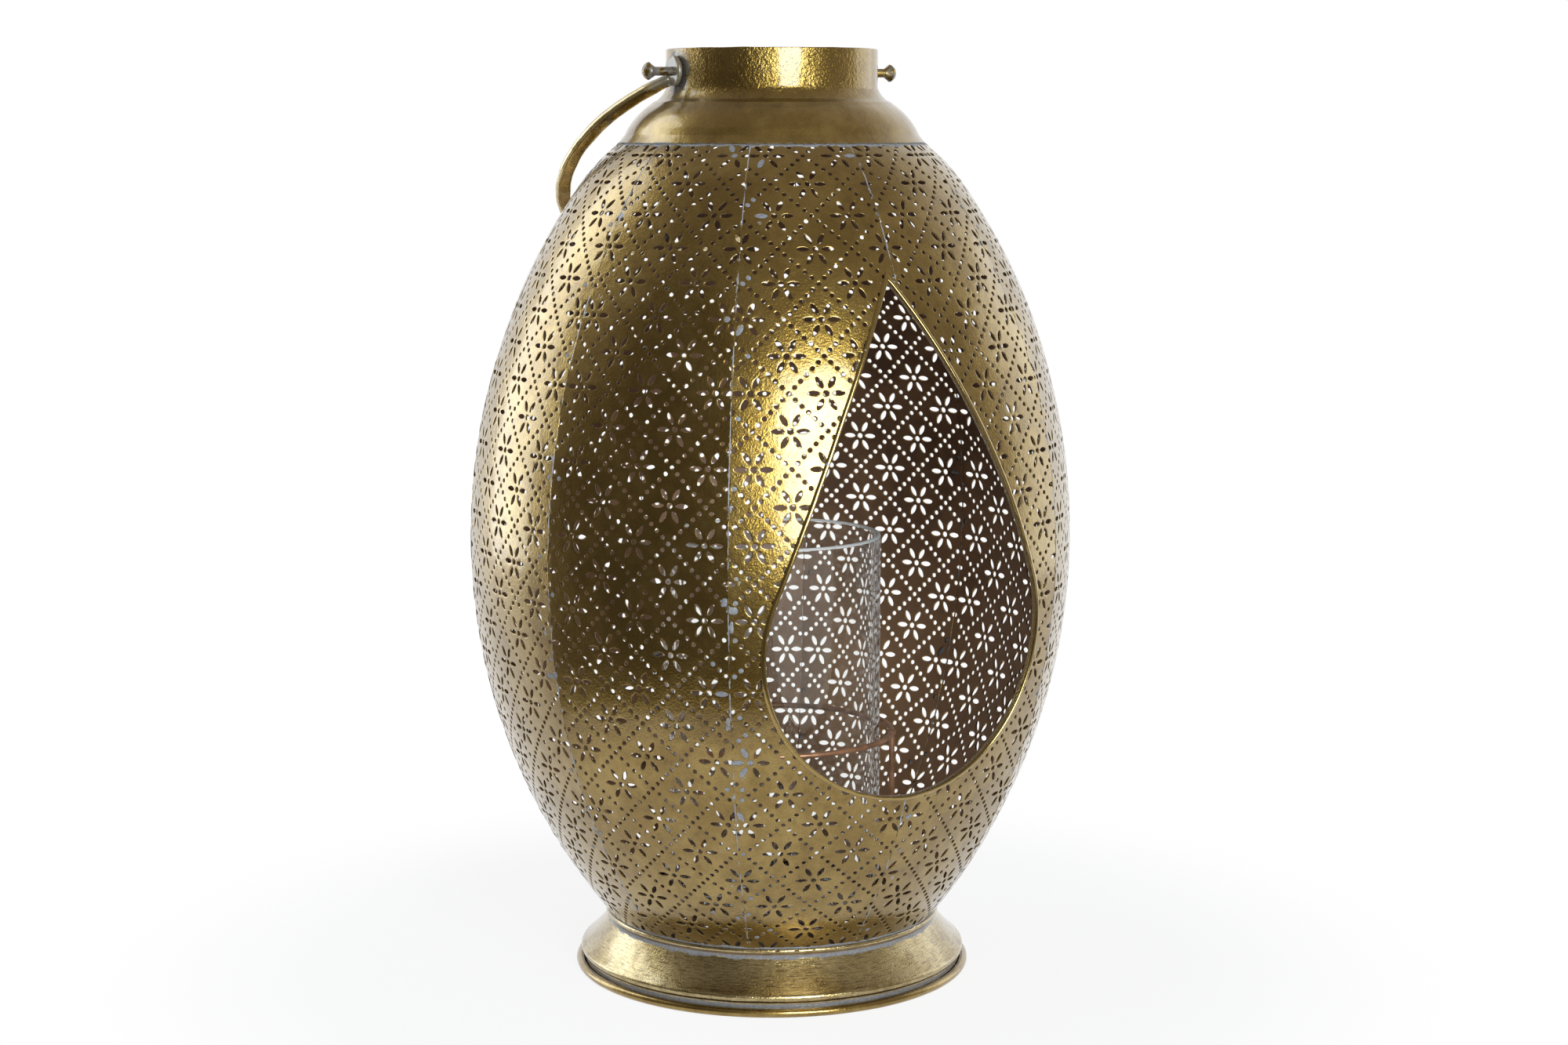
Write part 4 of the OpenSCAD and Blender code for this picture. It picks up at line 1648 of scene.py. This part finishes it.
@dataclass
class Collar:
    """The spun collar: flared lip, domed shoulder, cove and neck."""

    lip_r: float = 75.2 * MM
    lip_z: float = 414.2 * MM
    crease_r: float = 72.3 * MM
    crease_z: float = 418.4 * MM
    dome_r: float = 58.6 * MM
    dome_z: float = 433.6 * MM
    dome_arc: float = 36 * MM
    cove_arc: float = 14 * MM
    neck_r: float = 52 * MM
    neck_z: float = 441 * MM
    top_z: float = 459.6 * MM
    wall: float = 0.8 * MM
    pin_hole: float = 2.4 * MM
    steps: int = 240
    dents: tuple[Dents, ...] = ((0.16 * MM, 11 * MM, 2.3), (0.05 * MM, 3.2 * MM, 8.3))

    def outline(self) -> list[Point]:
        """The outer face from the lip up, with its creases."""
        crease, dome = (self.crease_r, self.crease_z), (self.dome_r, self.dome_z)
        points = [
            (self.lip_r - 0.25 * MM, self.lip_z), (self.lip_r, self.lip_z + 0.35 * MM),
            (self.lip_r - 1.5 * MM, self.lip_z + 2.3 * MM),
            (self.crease_r + 0.1 * MM, self.crease_z - 0.3 * MM),
            (self.crease_r - 0.25 * MM, self.crease_z + 0.25 * MM),
        ]
        points += arc(crease, dome, self.dome_arc, 14)[1:-1]
        points += [
            (self.dome_r + 0.35 * MM, self.dome_z), (self.dome_r - 0.2 * MM, self.dome_z + 0.45 * MM),
        ]
        points += arc(dome, (self.neck_r, self.neck_z), -self.cove_arc, 8)[1:]
        rise = self.top_z - self.neck_z
        points += [(self.neck_r, self.neck_z + rise * k / 8) for k in range(1, 8)]
        points += [(self.neck_r, self.top_z - 0.3 * MM), (self.neck_r - 0.3 * MM, self.top_z)]
        return points

    def build(self) -> None:
        """Builds the collar."""
        piece = Bench.spin("collar", self.outline(), self.steps, closed=False)
        Bench.finish(piece, "SOLIDIFY", thickness=self.wall, offset=-1.0, use_even_offset=True)
        Bench.cut(piece, Bench.rod(self.pin_hole, 3 * self.neck_r, 40, z=PIN_Z))
        Bench.dent(piece, *self.dents)
        hand_over(piece, Body.ROOT, "gold_leaf", "neck_collar", finish=COLLAR_GOLD, degrees=35)


@dataclass
class Foot:
    """The foot: bead, flared skirt, rolled ring and the floor plate."""

    ring_r: float = 97.9 * MM
    ring_z: float = 1.85 * MM
    ring_bead: float = 2.1 * MM
    flange_r: float = 89.9 * MM
    wall: float = 0.8 * MM
    skirt_r: float = 95.75 * MM
    turn_z: float = 6.0 * MM
    turn_arc: float = 2.8 * MM
    wide_r: float = 97.3 * MM
    wide_z: float = 9.6 * MM
    flare_arc: float = 75 * MM
    neck_r: float = 83.7 * MM
    neck_z: float = 24.2 * MM
    plate_z: float = 26.0 * MM
    bead_r: float = 83.3 * MM
    bead_z: float = 28.0 * MM
    bead: float = 1.5 * MM
    bead_low: float = 26.8 * MM
    bead_top: float = 29.2 * MM
    nicks: tuple[float, ...] = (-117.0, -110.5, -104.0, -61.0, 12.0, 88.0, 151.0)
    nick_width: float = 0.32
    steps: int = 288
    bead_steps: int = 600
    skirt_dents: tuple[Dents, ...] = ((0.16 * MM, 14 * MM, 4.1), (0.04 * MM, 3.5 * MM, 4.9))
    ring_dents: Dents = (0.08 * MM, 9 * MM, 5.3)
    bead_dents: Dents = (0.07 * MM, 6 * MM, 6.1)

    def flare(self) -> None:
        """The skirt, spun from sheet."""
        turn, wide = (self.skirt_r, self.turn_z), (self.wide_r, self.wide_z)
        neck = (self.neck_r, self.neck_z)
        outline = [(self.skirt_r, self.wall), (self.skirt_r, 3.4 * MM), turn]
        outline += arc(turn, wide, self.turn_arc, 6)
        outline += [(self.wide_r - 0.35 * MM, self.wide_z + 0.45 * MM)]
        outline += arc(wide, neck, -self.flare_arc, 18)[1:] + [(self.neck_r, self.plate_z)]
        piece = Bench.spin("skirt", outline, self.steps, closed=False)
        Bench.finish(piece, "SOLIDIFY", thickness=self.wall, offset=-1.0, use_even_offset=True)
        Bench.dent(piece, *self.skirt_dents)
        hand_over(piece, Body.ROOT, "gold_leaf", "base_flare", finish=FOOT_GOLD, degrees=35)

    @staticmethod
    def round_part(r: float, z: float, size: float, turn: Iterable[float]) -> list[Point]:
        """Points of a circle round r and z, at the angles of turn."""
        return [(r + size * math.cos(t), z + size * math.sin(t)) for t in turn]

    def ring(self) -> None:
        """The rolled ring with its flange."""
        low = math.asin(-self.ring_z / self.ring_bead)
        high = math.pi - math.asin((self.wall - self.ring_z) / self.ring_bead)
        rolled = self.round_part(self.ring_r, self.ring_z, self.ring_bead, np.linspace(low, high, 22))
        outline = [(self.flange_r, 0.0), *rolled, (self.flange_r, self.wall)]
        piece = Bench.spin("foot_ring", outline, self.steps)
        Bench.dent(piece, self.ring_dents)
        points = Bench.points_of(piece)
        points[:, 2] = np.maximum(points[:, 2], 0.0)
        Bench.move_points(piece, points)
        hand_over(piece, Body.ROOT, "gold_leaf", "base_ring", finish=GOLD, degrees=35)

    def top_bead(self) -> None:
        """The bead under the egg, nicked in a few places."""
        low = math.asin((self.bead_low - self.bead_z) / self.bead)
        high = math.asin((self.bead_top - self.bead_z) / self.bead)
        turn = (*np.linspace(low, high, 9), *np.linspace(math.pi - high, math.pi - low, 9))
        outline = self.round_part(self.bead_r, self.bead_z, self.bead, turn)
        piece = Bench.spin("egg_bead", outline, self.bead_steps)
        points = Bench.points_of(piece)
        angle = np.degrees(np.arctan2(points[:, 1], points[:, 0]))
        reach = np.hypot(points[:, 0], points[:, 1])
        pinch = sum(np.exp(-(((angle - nick) / self.nick_width) ** 2)) for nick in self.nicks)
        sink = np.where(reach > self.bead_r, 0.4 * pinch, 0.0) * (reach - self.bead_r)
        points[:, :2] *= ((reach - sink) / reach)[:, None]
        Bench.move_points(piece, points)
        Bench.dent(piece, self.bead_dents)
        hand_over(piece, Body.ROOT, "gold_leaf", "base_top_bead", finish=FOOT_GOLD, degrees=45)

    def build(self) -> None:
        """Builds the foot."""
        self.flare()
        self.ring()
        self.top_bead()
        dress(frame["nodes"]["floor_plate"], PLATE)


@dataclass
class GlassInsert:
    """The glass cylinder."""

    radius: float = 54.7 * MM
    height: float = 193 * MM
    wall: float = 2.4 * MM
    floor: float = 4 * MM
    low_z: float = 27.1 * MM
    outer_round: float = 2.2 * MM
    inner_round: float = 3.5 * MM
    wave: float = 0.10 * MM
    wave_across: float = 30 * MM
    wave_along: float = 55 * MM

    def outline(self) -> list[Point]:
        """The closed section from the axis out, up, over the lip and back."""
        inner, top = self.radius - self.wall, self.height - self.wall / 2
        points = [(0.0, 0.0), (self.radius * 0.5, 0.0), (self.radius - self.outer_round, 0.0)]
        points += arc(points[-1], (self.radius, self.outer_round), self.outer_round, 6)
        shares = (0.002, 0.008, *(k / 24 for k in range(1, 24)), 0.992, 0.998, 1.0)
        points += [(self.radius, self.outer_round + (top - self.outer_round) * share) for share in shares]
        points += arc(points[-1], (inner, top), self.wall / 2, 12)
        low = self.floor + self.inner_round
        points += [(inner, top + (low - top) * share) for share in shares]
        points += arc(points[-1], (inner - self.inner_round, self.floor), -self.inner_round, 6)
        points += [(self.radius * 0.5, self.floor), (0.0, self.floor)]
        return [(r, z + self.low_z) for r, z in points]

    def build(self) -> None:
        """Builds the glass with the slight waves of its drawn wall."""
        piece = Bench.spin("glass_insert", self.outline(), 144, closed=False)
        points = Bench.points_of(piece)
        waves = []
        for spot in points:
            place = Vector((*(spot[:2] / self.wave_across), spot[2] / self.wave_along))
            waves.append(noise.noise(place) * np.hypot(*spot[:2]) / self.radius)
        points[:, :2] *= (1 - np.abs(np.array(waves)) * self.wave / self.radius)[:, None]
        Bench.move_points(piece, points)
        dress(piece, GLASS, GLASS_LIP)
        lip_z = self.low_z + self.height - self.wall / 2
        for face in piece.data.polygons:
            face.material_index = int(face.center.z > lip_z)
        hand_over(piece, Body.GLASS, "clear_glass", "glass_cylinder", degrees=60)


@dataclass
class WireHolder:
    """The wire ring round the glass on its three legs."""

    ring_r: float = 61 * MM
    ring_z: float = 118.8 * MM
    wire_r: float = 1.4 * MM
    foot_z: float = 28.0 * MM
    bend_r: float = 4 * MM
    toe: float = 7 * MM
    legs: tuple[float, ...] = (-33.5, 86.5, 206.5)
    sides: int = 16

    def ring(self) -> None:
        """The ring, bent by hand from one length of wire."""
        turn = np.arange(180) * FULL_TURN / 180
        reach = self.ring_r + 0.15 * MM * np.sin(2 * turn + 0.6)
        height = self.ring_z + 0.2 * MM * np.sin(3 * turn)
        path = np.stack([reach * np.cos(turn), reach * np.sin(turn), height], -1)
        piece = tube("wire_ring", path, self.wire_r, self.sides, closed=True)
        hand_over(piece, Body.ROOT, "copper_wire", "holder_ring", finish=COPPER, degrees=60)

    def leg(self, number: int) -> None:
        """One leg with its bent toe and its drop of weld at the ring."""
        low = self.foot_z + self.bend_r
        path = [(self.ring_r, 0.0, z) for z in np.linspace(self.ring_z, low, 16)]
        for k in range(1, 9):
            angle = k * math.pi / 16
            bend = self.bend_r * (1 - math.cos(angle))
            path.append((self.ring_r, bend, low - self.bend_r * math.sin(angle)))
        path += [(self.ring_r, self.bend_r + self.toe * k / 4, self.foot_z) for k in range(1, 5)]
        rod = tube(f"wire_leg_{number}", np.array(path), self.wire_r, self.sides)
        Bench.clear()
        bpy.ops.mesh.primitive_uv_sphere_add(
            segments=20, ring_count=12, radius=self.wire_r * 1.45,
            location=(self.ring_r, 0, self.ring_z - 0.3 * MM),
        )
        drop = Bench.settle()
        Bench.dent(drop, (0.25 * MM, 1.6 * MM, number * 2.0))
        piece = Bench.join(f"wire_leg_{number}", [rod, drop])
        piece.data.transform(Matrix.Rotation(math.radians(self.legs[number - 1]), 4, "Z"))
        hand_over(piece, Body.ROOT, "copper_wire", f"holder_leg_{number}", finish=COPPER, degrees=60)

    def build(self) -> None:
        """Builds the ring and the legs."""
        self.ring()
        for number in range(1, len(self.legs) + 1):
            self.leg(number)


@dataclass
class Bail:
    """The cast bail, lying back on the rear shoulder."""

    arch_r: float = 83 * MM
    arch_z: float = 68.87 * MM
    arch_end: float = math.radians(49.6)
    half_w: float = 3.9 * MM
    half_t: float = 3.0 * MM
    side: float = 2.4 * MM
    ridge: float = 0.6 * MM
    corner: float = 0.8 * MM
    eyelet_r: float = 7.5 * MM
    eyelet_t: float = 2.5 * MM
    eyelet_x: float = 52.5 * MM
    bore_r: float = 2.23 * MM
    rest: float = math.radians(126.69)
    steps: int = 120
    voxel: float = 0.55 * MM
    dents: tuple[Dents, ...] = ((0.28 * MM, 9 * MM, 3.1), (0.05 * MM, 3.4 * MM, 7.7))

    def section(self) -> list[Point]:
        """Outwards along the arch's radius, and across its plane with the ridge forwards."""
        w, t, c = self.half_w, self.half_t, self.corner
        return [
            (-w, c - t), (c - w, -t), (0.0, -t), (w - c, -t), (w, c - t), (w, self.side - t),
            (w * 0.55, t - 1.0 * MM), (self.ridge, t), (-self.ridge, t), (-w * 0.55, t - 1.0 * MM),
            (-w, self.side - t),
        ]

    def bar(self) -> Piece:
        """The bar from eyelet to eyelet."""
        section, points = self.section(), []
        for i in range(self.steps + 1):
            angle = -self.arch_end + (math.pi + 2 * self.arch_end) * i / self.steps
            thin = 1.0 - 0.12 * math.exp(-min(i, self.steps - i) / 5)
            for a, b in section:
                reach = self.arch_r + a * thin
                points.append((reach * math.cos(angle), -b * thin, self.arch_z + reach * math.sin(angle)))
        piece = Bench.lay_out("bail", points, skin(self.steps + 1, len(section), closed=False))
        Bench.tidy(piece)
        return piece

    def eyelet(self, side: Side) -> Piece:
        """One flat eyelet, with softened edges."""
        Bench.rod(self.eyelet_r, self.eyelet_t, 72, side.value * (self.eyelet_x + self.eyelet_t / 2))
        piece = Bench.settle()
        Bench.finish(piece, "BEVEL", width=0.5 * MM, segments=3, limit_method="ANGLE")
        return piece

    def build(self) -> None:
        """Builds the bail in one casting, bored for its pins."""
        piece = Bench.join("bail", [self.bar(), self.eyelet(Side.LEFT), self.eyelet(Side.RIGHT)])
        Bench.finish(piece, "REMESH", mode="VOXEL", voxel_size=self.voxel)
        Bench.finish(piece, "SMOOTH", factor=0.5, iterations=8)
        Bench.dent(piece, *self.dents)
        Bench.clear()
        bpy.ops.mesh.primitive_cube_add(size=1, location=(0, 0, self.eyelet_r / 2))
        slab = bpy.context.view_layer.objects.active
        slab.scale = (2 * self.eyelet_x, 2.6 * self.eyelet_r, 4 * self.eyelet_r)
        Bench.cut(piece, slab)
        Bench.cut(piece, Bench.rod(self.bore_r, 4 * self.eyelet_x, 40))
        lay = Matrix.Translation((0, 0, PIN_Z)) @ Matrix.Rotation(-self.rest, 4, "X")
        piece.data.transform(lay)
        hand_over(piece, Body.BAIL, "gold_leaf", "bail_handle", finish=BAIL_GOLD, degrees=45)


@dataclass
class Pins:
    """The two mushroom-headed pins and their nuts."""

    start_x: float = 47.4 * MM
    length: float = 23.0 * MM
    shank_r: float = 2.15 * MM
    head_r: float = 4.3 * MM
    cone: float = 3.0 * MM
    dome: float = 3.0 * MM
    nut_x: float = 50.99 * MM
    nut_r: float = 4.0 * MM
    nut_t: float = 2.6 * MM
    bore_r: float = 2.2 * MM
    thread: float = 0.7 * MM
    thread_l: float = 5 * MM

    def outline(self) -> list[Point]:
        """Radius and length of the pin, threaded at its inner end."""
        shank = self.length - self.cone - self.dome
        points = [(0.0, 0.0), (self.shank_r - 0.5 * MM, 0.0)]
        for k in range(int(self.thread_l / self.thread)):
            z = 0.35 * MM + k * self.thread
            points += [(self.shank_r - 0.28 * MM, z), (self.shank_r, z + self.thread / 2)]
        points += [(self.shank_r, shank - 0.6 * MM), (self.shank_r + 0.25 * MM, shank)]
        rim = (self.head_r, shank + self.cone)
        points += [(self.head_r - 0.35 * MM, rim[1] - 0.5 * MM), (self.head_r, rim[1] - 0.15 * MM)]
        size = (self.head_r**2 + self.dome**2) / (2 * self.dome)
        return points + arc(rim, (0.0, self.length), size, 10)

    def pin(self, side: Side) -> None:
        """One pin."""
        name = side.name.lower()
        piece = Bench.spin(f"{name}_pin", self.outline(), 40, closed=False)
        r_cos, r_sin, length = Bench.points_of(piece).T
        Bench.move_points(piece, np.stack([side.value * (length + self.start_x), r_sin, r_cos + PIN_Z], -1))
        Bench.tidy(piece, FINE_WELD)
        Bench.dent(piece, (0.10 * MM, 2.2 * MM, 3.0 * side.value))
        hand_over(piece, Body.ROOT, "aged_pin", f"{name}_handle_pin", finish=PIN_GOLD, degrees=40)

    def nut(self, side: Side) -> None:
        """One hexagon nut inside the neck."""
        name, middle = side.name.lower(), side.value * (self.nut_x - self.nut_t / 2)
        Bench.rod(self.nut_r, self.nut_t, 6, middle, PIN_Z)
        piece = Bench.settle()
        piece.name = piece.data.name = f"{name}_nut"
        Bench.finish(piece, "BEVEL", width=0.25 * MM, segments=2, limit_method="ANGLE")
        Bench.cut(piece, Bench.rod(self.bore_r, 3 * self.nut_t, 32, middle, PIN_Z))
        hand_over(piece, Body.ROOT, "dark_iron", f"{name}_pin_nut", finish=NUT_IRON, degrees=30)

    def build(self) -> None:
        """Builds both pins and both nuts."""
        for side in Side:
            self.pin(side)
            self.nut(side)


# Studio


CAMERA_AZIMUTH = math.radians(-28.5)
PLAIN_WHITE: Colour = (1.0, 1.0, 1.0)


@dataclass(frozen=True)
class FloorPaint(Finish):
    """The floor: white to the camera and in reflections, with the lantern's shadow kept."""

    name: str = "floor_paint"
    clear_r: float = 0.20
    edge_r: float = 0.36
    plain_share: float = 0.86

    def surface(self) -> Wire:
        """Matt white under a plain white that hides the floor's edge."""
        x, y, _ = self.xyz()
        edge = ((x * x + y * y) ** 0.5).fade(self.clear_r, self.edge_r)
        share = self.seen() * (edge * (1 - self.plain_share) + self.plain_share)
        matt = self.node("ShaderNodeBsdfDiffuse", {}, (0.80, 0.80, 0.80))
        plain = self.node("ShaderNodeEmission", {}, PLAIN_WHITE, 1.0)
        return self.node("ShaderNodeMixShader", {}, share, matt, plain)


@dataclass(frozen=True)
class RoomPaint(Finish):
    """The studio's unlit side, which only polished surfaces show."""

    name: str = "room_paint"
    azimuth: float = CAMERA_AZIMUTH
    tone: Colour = (1.0, 0.91, 0.76)
    dark_level: float = 0.15

    def surface(self) -> Wire:
        """Dim in front and overhead, darkest to the front left, open to the white backdrop behind."""
        x, y, z = self.xyz()
        c, s = math.cos(self.azimuth), math.sin(self.azimuth)
        ahead, right = x * s - y * c, x * c + y * s
        flat = (x * x + y * y) ** 0.5
        turn, rise = right.atan2(ahead) * (180 / math.pi), z.atan2(flat) * (180 / math.pi)
        lower, upper = rise.fade(-4, -22) * 30, rise.fade(0, 40) * 16
        dark = (turn - upper).fade(-93, -73) * (turn - lower).fade(-6, -32)
        dark = dark * rise.fade(72, 40) * rise.fade(-66, -42)
        glow = rise.fade(20, 80) * 0.04 + 0.36 + turn.fade(40, 100) * 0.08
        level = glow * (1 - dark) + dark * self.dark_level
        paint = self.node("ShaderNodeEmission", {}, self.tone, level)
        gone = self.node("ShaderNodeBsdfTransparent", {}, PLAIN_WHITE)
        open_side = abs(turn).fade(92, 118) * rise.fade(62, 30)
        return self.node("ShaderNodeMixShader", {}, open_side, paint, gone)


@dataclass(frozen=True)
class Surroundings(Finish):
    """The world round the lantern: white where it is seen, a soft light for what is matt."""

    name: str = "surroundings"
    output: str = "ShaderNodeOutputWorld"
    soft_level: float = 0.36

    def surface(self) -> Wire:
        """White for the camera, metal and glass, a plain soft level for all else."""
        soft = self.node("ShaderNodeBackground", {}, PLAIN_WHITE, self.soft_level)
        white = self.node("ShaderNodeBackground", {}, PLAIN_WHITE, 1.0)
        return self.node("ShaderNodeMixShader", {}, self.seen(), soft, white)


@dataclass(frozen=True)
class SoftBox:
    """A soft box: its place as the camera sees it from the lantern, its size and its level."""

    name: str
    turn: float
    height: float
    reach: float
    size: Point
    level: float


@dataclass
class Studio:
    """Camera, floor, lamps and surroundings."""

    azimuth: float = CAMERA_AZIMUTH
    distance: float = 1364.4 * MM
    height: float = 425.5 * MM
    pitch: float = math.radians(8.35)
    lens: float = 63.0
    sensor: float = 36.0
    clip: Point = (0.05, 60.0)
    shift: float = 0.00775
    floor_r: float = 0.37
    floor_z: float = -0.2 * MM
    aim_z: float = 0.24
    room_r: float = 4.0
    lamp_tone: Colour = (0.86, 0.95, 1.0)
    boxes: tuple[SoftBox, ...] = (
        SoftBox("front_box", 19.0, 0.60, 1.55, (0.64, 0.90), 13.5),
        SoftBox("left_box", -116.0, 0.72, 1.30, (0.62, 1.60), 2.6),
        SoftBox("right_box", 118.0, 0.40, 1.35, (0.80, 0.90), 0.9),
    )

    def camera(self) -> None:
        """Puts the camera where the photograph was taken from."""
        data = bpy.data.cameras.new("photo_camera")
        data.lens, data.sensor_width, data.shift_x = self.lens, self.sensor, self.shift
        data.clip_start, data.clip_end = self.clip
        camera = bpy.data.objects.new("photo_camera", data)
        bpy.context.scene.collection.objects.link(camera)
        camera.location = (
            math.sin(self.azimuth) * self.distance, -math.cos(self.azimuth) * self.distance, self.height
        )
        camera.rotation_euler = (math.pi / 2 - self.pitch, 0.0, self.azimuth)
        bpy.context.scene.camera = camera

    def lamp(self, box: SoftBox) -> None:
        """Hangs a soft box so that it faces the lantern."""
        data = bpy.data.lights.new(box.name, "AREA")
        data.shape, data.size, data.size_y = "RECTANGLE", *box.size
        data.energy = box.level * math.pi * box.size[0] * box.size[1]
        data.color = self.lamp_tone
        lamp = bpy.data.objects.new(box.name, data)
        bpy.context.scene.collection.objects.link(lamp)
        turn = self.azimuth + math.radians(box.turn)
        lamp.location = (math.sin(turn) * box.reach, -math.cos(turn) * box.reach, box.height)
        aim = Vector((0, 0, self.aim_z)) - lamp.location
        lamp.rotation_euler = aim.to_track_quat("-Z", "Y").to_euler()
        lamp.visible_camera = False
        lamp.visible_transmission = False

    def floor(self) -> None:
        """Lays the pale floor."""
        Bench.clear()
        bpy.ops.mesh.primitive_circle_add(
            vertices=128, radius=self.floor_r, fill_type="TRIFAN", location=(0, 0, self.floor_z)
        )
        floor = bpy.context.view_layer.objects.active
        floor.name = "floor"
        dress(floor, FloorPaint())

    def room(self) -> None:
        """Hangs the dim side of the studio, seen only in polished surfaces."""
        Bench.clear()
        bpy.ops.mesh.primitive_uv_sphere_add(segments=64, ring_count=32, radius=self.room_r)
        room = bpy.context.view_layer.objects.active
        room.name = "room"
        for ray in ("camera", "diffuse", "transmission", "shadow", "volume_scatter"):
            setattr(room, f"visible_{ray}", False)
        dress(room, RoomPaint())

    def surroundings(self) -> None:
        """Sets the world."""
        world = bpy.data.worlds.new("studio")
        bpy.context.scene.world = world
        world.use_nodes = True
        Surroundings().paint(world.node_tree)

    def build(self) -> None:
        """Builds the studio."""
        bpy.context.scene.view_settings.view_transform = "Standard"
        self.camera()
        self.floor()
        self.room()
        self.surroundings()
        for box in self.boxes:
            self.lamp(box)


def main() -> None:
    """Builds the studio and the lantern's parts in order."""
    logging.basicConfig(level=logging.INFO, format="%(message)s")
    Studio().build()
    shell = PiercedShell()
    for part in (
        shell, SeamSolder(shell), WindowRim(shell.egg, shell.window), Collar(), Foot(), GlassInsert(),
        WireHolder(), Bail(), Pins(),
    ):
        part.build()


if __name__ == "__main__":
    main()
